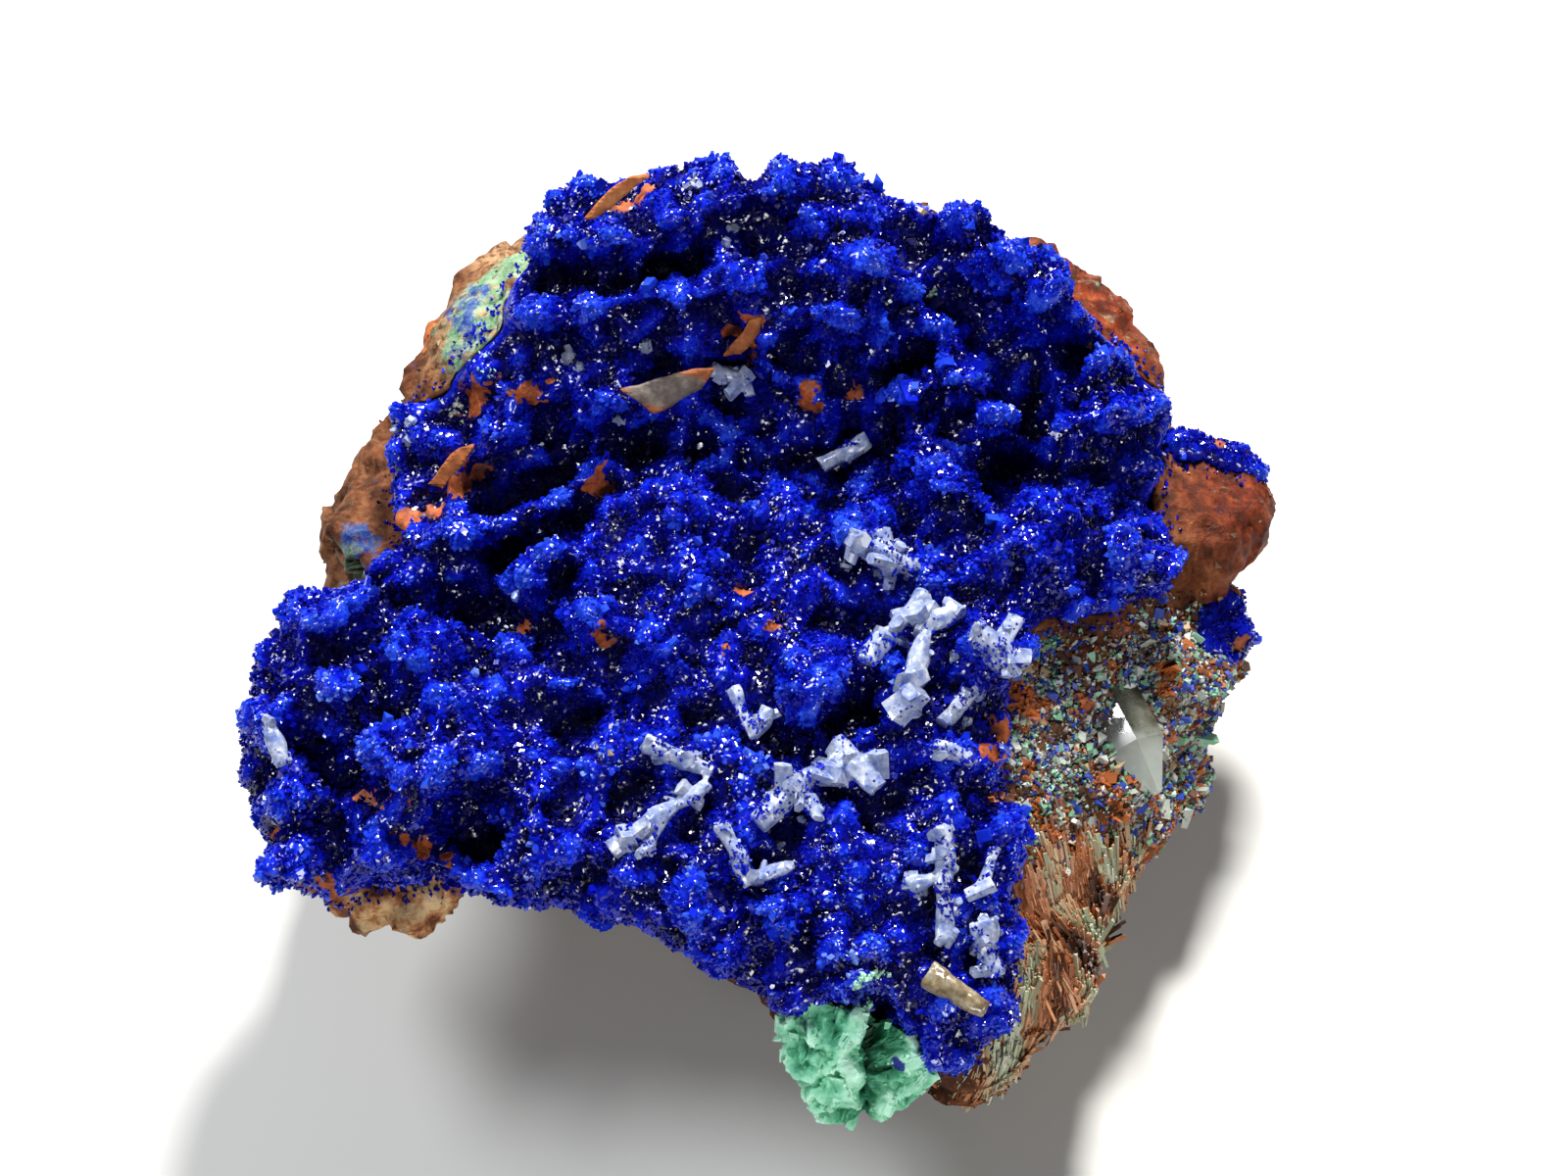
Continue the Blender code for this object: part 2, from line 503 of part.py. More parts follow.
def base_height(u, v):
    height = profile_at(BASE_PROFILE, v)
    for centre_u, centre_v, radius_u, radius_v, rise in SWELLS:
        distance = math.hypot((u - centre_u) / radius_u, (v - centre_v) / radius_v)
        height += rise * smooth_step(1.0 - distance)
    return height


def placed(u, v, rise):
    return u, v - VIEW_SHEAR * (base_height(u, v) + rise)


def placed_lumps():
    lumps = []
    for u, v, length, width, turn, rise in LUMPS:
        height = rise * LUMP_GAIN
        centre_u, centre_v = placed(u, v, LUMP_MIDDLE * height)
        angle = math.radians(turn)
        lumps.append((centre_u, centre_v, length, width, math.cos(angle), math.sin(angle), height))
    return lumps


def placed_furrows():
    furrows = []
    for deep, half_width, points in FURROWS:
        furrows.append((deep * FURROW_GAIN, half_width, [placed(u, v, 0.0) for u, v in points]))
    return furrows


def lump_height(lumps, u, v):
    height = 0.0
    for centre_u, centre_v, length, width, cosine, sine, rise in lumps:
        across = u - centre_u
        along = v - centre_v
        first = (across * cosine + along * sine) / length
        second = (along * cosine - across * sine) / width
        share = 1.0 - first * first - second * second
        if share > 0.0:
            height = max(height, rise * math.sqrt(share))
    return height


def distance_to_path(u, v, points):
    nearest = math.inf
    for (start_u, start_v), (end_u, end_v) in zip(points, points[1:]):
        step_u = end_u - start_u
        step_v = end_v - start_v
        share = ((u - start_u) * step_u + (v - start_v) * step_v) / (step_u ** 2 + step_v ** 2)
        share = min(1.0, max(0.0, share))
        gap = math.hypot(u - start_u - share * step_u, v - start_v - share * step_v)
        nearest = min(nearest, gap)
    return nearest


def furrow_depth(furrows, u, v):
    depth = 0.0
    for deep, half_width, points in furrows:
        distance = distance_to_path(u, v, points) / half_width
        depth = max(depth, deep * math.exp(-distance * distance))
    return depth


def cell_height(place, size):
    distances, _ = noise.voronoi(place / size)
    return max(0.0, 1.0 - (distances[0] / CELL_REACH) ** 2)


# Crust

def flat_slab(name, outline, half, collection):
    curve = bpy.data.curves.new(name, "CURVE")
    curve.dimensions = "2D"
    curve.fill_mode = "BOTH"
    curve.extrude = half
    spline = curve.splines.new("POLY")
    spline.points.add(len(outline) - 1)
    for point, (u, v) in zip(spline.points, outline):
        point.co = (u, v, 0.0, 1.0)
    spline.use_cyclic_u = True
    drawn = bpy.data.objects.new(name, curve)
    collection.objects.link(drawn)
    depsgraph = bpy.context.evaluated_depsgraph_get()
    mesh = bpy.data.meshes.new_from_object(drawn.evaluated_get(depsgraph))
    discard(drawn)
    solid = bmesh.new()
    solid.from_mesh(mesh)
    bmesh.ops.remove_doubles(solid, verts=solid.verts[:], dist=MERGE_DISTANCE)
    return object_from_bmesh(name, solid, collection)


def placed_outline():
    points = []
    for u, v in CRUST_OUTLINE:
        top_share = smooth_step(v / OUTLINE_FADE)
        points.append(placed(u, v, CRUST_HALF * top_share))
    return points


def build_crust(collection):
    lumps = placed_lumps()
    furrows = placed_furrows()

    def raise_point(place, normal):
        share = smooth_step((place.z + CRUST_HALF) / (2.0 * CRUST_HALF))
        rise = lump_height(lumps, place.x, place.y) - furrow_depth(furrows, place.x, place.y)
        rise = max(rise, -DEEPEST)
        cells = CELL_HEIGHT * cell_height(place, CELL_SIZE)
        cells += FINE_CELL_HEIGHT * cell_height(place, FINE_CELL_SIZE)
        upper = UNDERSIDE_SHARE + (1.0 - UNDERSIDE_SHARE) * share
        lifted = place + normal * (cells - CELL_SINK) * upper
        lifted.z += share * rise + base_height(place.x, place.y)
        lifted.y -= LEAN * share * max(0.0, rise)
        return lifted

    crust = flat_slab("azurite_crust", placed_outline(), CRUST_HALF, collection)
    fuse(crust, CRUST_VOXEL, CRUST_SMOOTHING)
    move_points(crust, raise_point)
    fuse(crust, CRUST_VOXEL, 0)
    keep_largest(crust)
    return crust


def build_seat(crust, collection):
    seat = flat_slab("seat", placed_outline(), SEAT_DEPTH, collection)
    lift = SEAT_DEPTH - CRUST_HALF
    seat.data.transform(Matrix.Translation((0.0, 0.0, lift)))
    fuse(seat, SEAT_VOXEL, SEAT_SMOOTHING)

    def bend(place, normal):
        moved = place + normal * CLEARANCE
        moved.z += base_height(place.x, place.y)
        return moved

    move_points(seat, bend)
    grown = copy_of(crust, "seat_skin")
    swell(grown, CLEARANCE)
    merge_into(seat, [grown])
    fuse(seat, SEAT_SKIN_VOXEL, 0)
    return seat


# Rock

def ring_points(ring):
    height, rise, bend, outline = ring
    points = []
    for x, y in outline:
        z = height + rise * y + bend * base_height(x, y)
        points.append((x, y, z))
    return points


def loft(rings, name, collection):
    mesh = bmesh.new()
    rows = [[mesh.verts.new(point) for point in ring_points(ring)] for ring in rings]
    count = len(rows[0])
    for lower, upper in zip(rows, rows[1:]):
        for index in range(count):
            after = (index + 1) % count
            mesh.faces.new((lower[index], lower[after], upper[after], upper[index]))
    mesh.faces.new(list(reversed(rows[0])))
    mesh.faces.new(rows[-1])
    bmesh.ops.triangulate(mesh, faces=mesh.faces[:])
    bmesh.ops.recalc_face_normals(mesh, faces=mesh.faces[:])
    return object_from_bmesh(name, mesh, collection)


def ball(place, radii, name, collection):
    mesh = bmesh.new()
    bmesh.ops.create_icosphere(mesh, subdivisions=BALL_ROUNDS, radius=1.0)
    bmesh.ops.scale(mesh, vec=radii, verts=mesh.verts[:])
    bmesh.ops.translate(mesh, vec=place, verts=mesh.verts[:])
    return object_from_bmesh(name, mesh, collection)


def block(place, size, turn, lean, bevel, name, collection):
    mesh = bmesh.new()
    bmesh.ops.create_cube(mesh, size=1.0)
    bmesh.ops.scale(mesh, vec=size, verts=mesh.verts[:])
    bmesh.ops.bevel(mesh, geom=mesh.edges[:], offset=bevel, segments=1, affect="EDGES",
                    profile=0.5, material=-1)
    rotation = Matrix.Rotation(math.radians(turn), 4, "Z")
    rotation = rotation @ Matrix.Rotation(math.radians(lean), 4, "Y")
    mesh.transform(Matrix.Translation(place) @ rotation)
    return object_from_bmesh(name, mesh, collection)


def blade(foot, height, lean, turn, name, collection):
    mesh = bmesh.new()
    bmesh.ops.create_cone(mesh, cap_ends=True, segments=4, radius1=BLADE_WIDTH,
                          radius2=BLADE_TIP, depth=height)
    bmesh.ops.scale(mesh, vec=(1.0, BLADE_FLATNESS, 1.0), verts=mesh.verts[:])
    bmesh.ops.translate(mesh, vec=(0.0, 0.0, height / 2.0), verts=mesh.verts[:])
    rotation = Matrix.Rotation(math.radians(turn), 4, "Z")
    rotation = rotation @ Matrix.Rotation(math.radians(-lean), 4, "Y")
    mesh.transform(Matrix.Translation(foot) @ rotation)
    return object_from_bmesh(name, mesh, collection)


def rock_point(place, normal):
    broad = noise.noise(place / BROAD_SIZE)
    grain = noise.noise(place / GRAIN_SIZE + Vector(GRAIN_SHIFT))
    cells = cell_height(place + Vector(BREAK_SHIFT), BREAK_SIZE)
    ledge = math.sin(place.z * LEDGE_PITCH + place.x * LEDGE_SLANT + LEDGE_WAVER * broad)
    rough = smooth_step((place.x - ROUGH_FROM_X) / ROUGH_FADE_X)
    rough *= smooth_step((ROUGH_TO_Y - place.y) / ROUGH_FADE_Y)
    outward = BROAD_HEIGHT * broad + GRAIN_HEIGHT * grain + LEDGE_HEIGHT * ledge
    outward += (BREAK_HEIGHT + ROUGH_BREAK_HEIGHT * rough) * (cells - BREAK_SINK)
    return place + normal * outward


def break_off(rock):
    mesh = bmesh.new()
    mesh.from_mesh(rock.data)
    for place, facing in ROCK_BREAKS:
        everything = mesh.verts[:] + mesh.edges[:] + mesh.faces[:]
        result = bmesh.ops.bisect_plane(mesh, geom=everything, dist=MERGE_DISTANCE,
                                        plane_co=place, plane_no=facing, clear_outer=True)
        rim = [item for item in result["geom_cut"] if isinstance(item, bmesh.types.BMEdge)]
        bmesh.ops.triangle_fill(mesh, edges=rim, use_beauty=True)
    bmesh.ops.recalc_face_normals(mesh, faces=mesh.faces[:])
    mesh.to_mesh(rock.data)
    mesh.free()


def build_rock(collection):
    rock = loft(ROCK_RINGS, "matrix_rock", collection)
    fuse(rock, ROCK_VOXEL, LOFT_SMOOTHING)
    break_off(rock)
    pieces = []
    for x, y, z, *radii in ROCK_MASSES:
        pieces.append(ball((x, y, z), radii, "mass", collection))
    for place, size, turn, lean, bevel in ROCK_BLOCKS:
        pieces.append(block(place, size, turn, lean, bevel, "block", collection))
    merge_into(rock, pieces)
    fuse(rock, ROCK_VOXEL, ROCK_SMOOTHING)
    move_points(rock, rock_point)
    blades = []
    for x, y, z, height, lean, turn in ROCK_BLADES:
        blades.append(blade((x, y, z), height, lean, turn, "blade", collection))
    merge_into(rock, blades)
    fuse(rock, BLADE_VOXEL, 1)
    return rock


def level_foot(rock, collection):
    size = (GROUND_SPAN, GROUND_SPAN, GROUND_SPAN)
    middle = (0.0, 0.0, -GROUND_SPAN / 2.0)
    ground = block(middle, size, 0, 0, GROUND_BEVEL, "ground", collection)
    cut(rock, ground)
    discard(ground)


# Smaller minerals

def blob(balls, voxel, name, collection):
    first, *rest = balls
    body = ball(first[:3], (first[3],) * 3, name, collection)
    merge_into(body, [ball(b[:3], (b[3],) * 3, "ball", collection) for b in rest])
    fuse(body, voxel, 1)

    def roughen(place, normal):
        return place + normal * (BEAD_HEIGHT * cell_height(place, BEAD_SIZE) - BEAD_SINK)

    move_points(body, roughen)
    return body


def prism(start, end, width, thickness, taper, name, collection):
    axis = end - start
    mesh = bmesh.new()
    bmesh.ops.create_cone(mesh, cap_ends=True, segments=6, radius1=0.5, radius2=0.5 * taper,
                          depth=axis.length)
    bmesh.ops.scale(mesh, vec=(width, thickness, 1.0), verts=mesh.verts[:])
    side = axis.normalized().cross(Vector((0.0, 0.0, 1.0))).normalized()
    up = side.cross(axis.normalized())
    frame = Matrix((side, up, axis.normalized())).transposed().to_4x4()
    mesh.transform(Matrix.Translation((start + end) / 2.0) @ frame)
    bmesh.ops.triangulate(mesh, faces=mesh.faces[:])
    bmesh.ops.recalc_face_normals(mesh, faces=mesh.faces[:])
    return object_from_bmesh(name, mesh, collection)


def surface_height(tree, u, v):
    place, _, _, _ = tree.ray_cast(Vector((u, v, ABOVE)), Vector((0.0, 0.0, -1.0)))
    if place is None:
        return None
    return place.z


def resting_heights(tree, lath):
    u_start, v_start, u_end, v_end, width, thickness = lath
    along = Vector((u_end - u_start, v_end - v_start, 0.0))
    across = Vector((-along.y, along.x, 0.0)).normalized() * width * 0.5
    rows = []
    for step in range(LATH_STEPS + 1):
        share = step / LATH_STEPS
        heights = []
        for side in LATH_SIDES:
            u = u_start + along.x * share + across.x * side
            v = v_start + along.y * share + across.y * side
            height = surface_height(tree, u, v)
            if height is not None:
                heights.append(height)
        rows.append((share, max(heights)))
    middle = sum(share for share, _ in rows) / len(rows)
    mean = sum(height for _, height in rows) / len(rows)
    spread = sum((share - middle) ** 2 for share, _ in rows)
    slope = sum((share - middle) * (height - mean) for share, height in rows) / spread
    lift = max(height - slope * share for share, height in rows)
    clear = lift + thickness * 0.5 + LATH_CLEARANCE
    return clear, clear + slope


def rest_lath(tree, lath):
    u_start, v_start, u_end, v_end, width, thickness = lath
    low = base_height(u_start, v_start) + LATH_FIRST_LIFT
    high = base_height(u_end, v_end) + LATH_FIRST_LIFT
    for _ in range(LATH_ROUNDS):
        start_v = v_start - VIEW_SHEAR * low
        end_v = v_end - VIEW_SHEAR * high
        low, high = resting_heights(tree, (u_start, start_v, u_end, end_v, width, thickness))
    return Vector((u_start, start_v, low)), Vector((u_end, end_v, high))


def build_laths(crust, collection):
    tree = BVHTree.FromPolygons([v.co for v in crust.data.vertices],
                                [p.vertices for p in crust.data.polygons])
    made = []
    for name, laths in LATHS:
        rested = [rest_lath(tree, lath) for lath in laths]
        body = None
        top = max(max(start.z, end.z) for start, end in rested)
        for lath, (start, end) in zip(laths, rested):
            if len(laths) > 1:
                start.z = max(start.z, top - CROSSING_DROP)
                end.z = max(end.z, top - CROSSING_DROP)
            piece = prism(start, end, lath[4], lath[5], LATH_TAPER, name, collection)
            if body is None:
                body = piece
            else:
                unite(body, piece)
        made.append(body)
    return made


def build_flakes(crust, collection):
    tree = BVHTree.FromPolygons([v.co for v in crust.data.vertices],
                                [p.vertices for p in crust.data.polygons])
    made = []
    for name, thickness, lean, outline in FLAKES:
        flake = flat_slab(name, outline, thickness / 2.0, collection)
        middle = sum((Vector((u, v, 0.0)) for u, v in outline), Vector()) / len(outline)
        seen = middle.copy()
        middle.y -= VIEW_SHEAR * (base_height(seen.x, seen.y) + FLAKE_RISE)
        lean_turn = Matrix.Rotation(math.radians(lean), 4, "X")
        flake.data.transform(lean_turn @ Matrix.Translation(-seen))
        rise = 0.0
        for vertex in flake.data.vertices:
            place = middle + vertex.co
            height = surface_height(tree, place.x, place.y)
            if height is not None:
                rise = max(rise, height - vertex.co.z)
        lift = rise + LATH_CLEARANCE
        flake.data.transform(Matrix.Translation((middle.x, middle.y, lift)))
        tidy_mesh(flake)
        made.append(flake)
    return made


def build_quartz(collection):
    foot = Vector(QUARTZ_FOOT)
    tip = Vector(QUARTZ_TIP)
    shoulder = foot.lerp(tip, QUARTZ_SHOULDER)
    width = 2.0 * QUARTZ_RADIUS
    flat = width * QUARTZ_FLATNESS
    crystal = prism(foot, shoulder, width, flat, 1.0, "quartz_crystal", collection)
    point = prism(shoulder, tip, width, flat, QUARTZ_TIP_TAPER, "quartz_point", collection)
    merge_into(crystal, [point])
    mesh = bmesh.new()
    mesh.from_mesh(crystal.data)
    bmesh.ops.delete(mesh, geom=joint_faces(mesh, shoulder, tip - foot), context="FACES")
    bmesh.ops.remove_doubles(mesh, verts=mesh.verts[:], dist=MERGE_DISTANCE)
    bmesh.ops.recalc_face_normals(mesh, faces=mesh.faces[:])
    mesh.to_mesh(crystal.data)
    mesh.free()
    return crystal


def joint_faces(mesh, place, axis):
    axis = axis.normalized()
    faces = []
    for face in mesh.faces:
        if abs((face.calc_center_median() - place).dot(axis)) < SLIVER:
            faces.append(face)
    return faces


def cut_pocket(rock, crystal, voxel):
    cutter = copy_of(crystal, "pocket")
    fuse(cutter, voxel, 0)
    swell(cutter, CLEARANCE)
    cutter.data.transform(FACE_TO_WORLD)
    cut(rock, cutter)
    discard(cutter)


# Assembly

def finish(thing, material, into_world):
    if into_world:
        thing.data.transform(FACE_TO_WORLD)
    thing.data.transform(Matrix.Scale(MM, 4))
    thing.data.materials.clear()
    thing.data.materials.append(material)
    for polygon in thing.data.polygons:
        polygon.use_smooth = False
        polygon.material_index = 0
    thing.data.update()


def main():
    remove_everything()
    solids = new_collection(OBJECT_NAME)
    cutters = new_collection("cutters")

    azurite = make_material(AZURITE)
    crust = build_crust(solids)
    seat = build_seat(crust, cutters)
    crust_skin = copy_of(crust, "crust_skin")
    swell(crust_skin, CLEARANCE)
    fuse(crust_skin, CRUST_SKIN_VOXEL, 0)
    thin_out(crust, CRUST_TRIANGLES)
    tidy_mesh(crust)

    malachite = blob(MALACHITE_BALLS, MALACHITE_VOXEL, "malachite_cluster", solids)
    cut(malachite, crust_skin)
    keep_largest(malachite)
    thin_out(malachite, MALACHITE_TRIANGLES)
    tidy_mesh(malachite)
    knob = blob(KNOB_BALLS, KNOB_VOXEL, "azurite_knob", solids)
    rim = blob(RIM_BALLS, RIM_VOXEL, "azurite_rim", solids)
    quartz = build_quartz(solids)
    discard(crust_skin)

    rock = build_rock(solids)
    cut_pocket(rock, knob, KNOB_POCKET_VOXEL)
    cut_pocket(rock, rim, RIM_POCKET_VOXEL)
    cut_pocket(rock, quartz, QUARTZ_POCKET_VOXEL)
    cut_pocket(rock, malachite, MALACHITE_POCKET_VOXEL)
    seat.data.transform(FACE_TO_WORLD)
    cut(rock, seat)
    discard(seat)
    keep_largest(rock)
    thin_out(rock, ROCK_TRIANGLES)
    level_foot(rock, cutters)
    keep_largest(rock)
    tidy_mesh(rock)

    for lump in (knob, rim):
        thin_out(lump, KNOB_TRIANGLES)
        tidy_mesh(lump)
    laths = build_laths(crust, solids)
    flakes = build_flakes(crust, solids)

    finish(rock, make_material(ROCK), False)
    for lump in (crust, knob, rim):
        finish(lump, azurite, True)
    finish(malachite, make_material(MALACHITE), True)
    finish(quartz, make_material(QUARTZ), True)
    pale = make_material(PALE_LATH)
    tan = make_material(TAN_LATH)
    for lath in laths:
        finish(lath, tan if lath.name == "lath_t" else pale, True)
    iron = make_material(IRON_FLAKE)
    for flake in flakes:
        finish(flake, iron, True)


main()
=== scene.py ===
import json
import math

import bmesh
import bpy
import numpy as np
from mathutils import Matrix, Vector, noise
from mathutils.bvhtree import BVHTree

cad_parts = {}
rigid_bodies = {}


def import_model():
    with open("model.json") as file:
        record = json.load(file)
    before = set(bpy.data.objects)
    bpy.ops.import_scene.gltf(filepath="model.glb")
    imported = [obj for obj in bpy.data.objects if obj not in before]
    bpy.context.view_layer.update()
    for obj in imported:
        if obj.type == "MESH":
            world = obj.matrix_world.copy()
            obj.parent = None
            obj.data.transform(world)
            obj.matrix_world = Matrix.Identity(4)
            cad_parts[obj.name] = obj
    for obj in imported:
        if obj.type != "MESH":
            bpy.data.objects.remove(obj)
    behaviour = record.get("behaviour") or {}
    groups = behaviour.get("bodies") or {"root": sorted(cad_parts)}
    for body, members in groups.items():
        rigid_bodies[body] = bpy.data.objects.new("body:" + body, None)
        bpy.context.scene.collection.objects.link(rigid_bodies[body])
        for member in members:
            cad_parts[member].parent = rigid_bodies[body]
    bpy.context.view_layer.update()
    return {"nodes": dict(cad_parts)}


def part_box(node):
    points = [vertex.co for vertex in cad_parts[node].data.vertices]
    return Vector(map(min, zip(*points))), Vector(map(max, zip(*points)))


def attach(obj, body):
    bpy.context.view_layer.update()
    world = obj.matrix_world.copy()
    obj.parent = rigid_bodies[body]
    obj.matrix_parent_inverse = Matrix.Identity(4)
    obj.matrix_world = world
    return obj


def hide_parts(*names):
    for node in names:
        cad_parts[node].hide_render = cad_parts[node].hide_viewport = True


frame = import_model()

mm = 0.001  # every mesh is worked in millimetres and turned to metres at the end
noise.seed_set(7)  # noise_vector takes its offsets from this seed

view = {
    "focal": 54.0, "sensor": 36.0, "pitch": 53.0,
    "place": (0.706, -33.06, 54.23), "faceTilt": 14.0, "faceHeight": 8.4,
}


# small tools

def makeCamera():
    pitch = math.radians(view["pitch"])
    forward = Vector((0, math.cos(pitch), -math.sin(pitch)))
    up = Vector((0, math.sin(pitch), math.cos(pitch)))
    right = Vector((1, 0, 0))
    data = bpy.data.cameras.new("camera")
    data.sensor_width = view["sensor"]
    data.lens = view["focal"]
    data.clip_start = 0.001
    data.clip_end = 10
    camera = bpy.data.objects.new("camera", data)
    bpy.context.scene.collection.objects.link(camera)
    matrix = Matrix((right, up, -forward)).transposed().to_4x4()
    matrix.translation = Vector(view["place"]) * mm
    camera.matrix_world = matrix
    bpy.context.scene.camera = camera


tilt = math.radians(view["faceTilt"])
faceToWorld = Matrix.Translation((0, 0, view["faceHeight"])) @ Matrix.Rotation(tilt, 4, "X")
eye = Vector(view["place"])
outward = np.array(faceToWorld.to_3x3() @ Vector((0, 0, 1)))  # straight up from the face


def meshArrays(mesh):
    points = np.empty(len(mesh.vertices) * 3)
    mesh.vertices.foreach_get("co", points)
    normals = np.empty(len(mesh.vertices) * 3)
    mesh.vertex_normals.foreach_get("vector", normals)
    return points.reshape(-1, 3), normals.reshape(-1, 3)


def setPoints(mesh, points):
    mesh.vertices.foreach_set("co", np.ascontiguousarray(points, dtype=np.float32).ravel())
    mesh.update()


def addObject(name, mesh):
    thing = bpy.data.objects.new(name, mesh)
    bpy.context.scene.collection.objects.link(thing)
    return thing


def copyOfNode(nodes, name):
    mesh = bpy.data.meshes.new(name)
    work = bmesh.new()
    for node in nodes:
        work.from_mesh(frame["nodes"][node].data)
    bmesh.ops.remove_doubles(work, verts=work.verts[:], dist=0.0000005)
    bmesh.ops.scale(work, vec=(1 / mm,) * 3, verts=work.verts[:])
    work.to_mesh(mesh)
    work.free()
    return addObject(name, mesh)


def bakeModifiers(thing):
    depsgraph = bpy.context.evaluated_depsgraph_get()
    mesh = bpy.data.meshes.new_from_object(thing.evaluated_get(depsgraph))
    thing.modifiers.clear()
    thing.data = mesh


def remeshed(thing, voxel, smoothing=0):
    modifier = thing.modifiers.new("remesh", "REMESH")
    modifier.mode = "VOXEL"
    modifier.voxel_size = voxel
    if smoothing:
        relax = thing.modifiers.new("relax", "SMOOTH")
        relax.iterations = smoothing
        relax.factor = 0.5
    bakeModifiers(thing)
    return thing


def tree(thing):
    mesh = thing.data
    points, _ = meshArrays(mesh)
    return BVHTree.FromPolygons(points.tolist(), [tuple(p.vertices) for p in mesh.polygons])


def relaxed(mesh, points, rounds):
    # each value drawn toward the mean of its neighbours
    edges = np.empty(len(mesh.edges) * 2, dtype=np.int64)
    mesh.edges.foreach_get("vertices", edges)
    first, second = edges.reshape(-1, 2).T
    count = np.bincount(np.concatenate((first, second)), minlength=len(points))
    count = np.maximum(count, 1)[:, None]
    result = points.copy()
    for _ in range(rounds):
        total = np.empty_like(result)
        for axis in range(3):
            weights = np.concatenate((result[second, axis], result[first, axis]))
            total[:, axis] = np.bincount(np.concatenate((first, second)), weights=weights,
                                         minlength=len(points))
        result = 0.5 * result + 0.5 * total / count
    return result


def smoothStep(values):
    values = np.clip(values, 0, 1)
    return values * values * (3 - 2 * values)


def cells(points, size, shift=0.0):
    # round lumps: 1 at the middle of each cell, 0 at its edge
    out = np.empty(len(points))
    for index, (x, y, z) in enumerate((points / size + shift).tolist()):
        distances, _ = noise.voronoi((x, y, z))
        out[index] = distances[0]
    return np.clip(1 - (out / 0.85) ** 2, 0, 1)


def ripple(points, size, shift=0.0):
    return np.array([noise.noise((x, y, z)) for x, y, z in (points / size + shift).tolist()])


def paint(mesh, name, values):
    layer = mesh.attributes.new(name, "FLOAT", "POINT")
    layer.data.foreach_set("value", np.ascontiguousarray(values, dtype=np.float32))


def nearest(searchTree, points, reach):
    distances = np.full(len(points), reach)
    places = points.copy()
    for index, point in enumerate(points.tolist()):
        place, _, _, distance = searchTree.find_nearest(point, reach)
        if place is not None:
            distances[index] = distance
            places[index] = place
    return distances, places


def seenPoint(searchTree, u, v):
    target = faceToWorld @ Vector((u, v, 0))
    place, normal, _, _ = searchTree.ray_cast(eye, (target - eye).normalized())
    return place, normal


def patchMask(points, searchTree, patches):
    # 1 inside the patches, which are given as seen: u, v, reach
    mask = np.zeros(len(points))
    for u, v, reach in patches:
        place, _ = seenPoint(searchTree, u, v)
        if place is not None:
            distance = np.linalg.norm(points - np.array(place), axis=1) / reach
            mask = np.maximum(mask, smoothStep(1.3 - distance))
    return mask


def finishPiece(thing, material, nodes=(), smooth=False):
    thing.data.transform(Matrix.Scale(mm, 4))
    thing.data.materials.clear()
    thing.data.materials.append(material)
    thing.data.polygons.foreach_set("use_smooth", [smooth] * len(thing.data.polygons))
    thing.data.update()
    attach(thing, "root")
    if nodes:
        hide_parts(*nodes)


# shader tools

class Sock:
    def __init__(self, maker, socket):
        self.maker = maker
        self.socket = socket

    def __add__(self, other):
        return self.maker.math("ADD", self, other)

    def __sub__(self, other):
        return self.maker.math("SUBTRACT", self, other)

    def __rsub__(self, other):
        return self.maker.math("SUBTRACT", other, self)

    def __mul__(self, other):
        return self.maker.math("MULTIPLY", self, other)

    def clamp(self):
        return self.maker.math("ADD", self, 0, clamp=True)

    __radd__ = __add__
    __rmul__ = __mul__


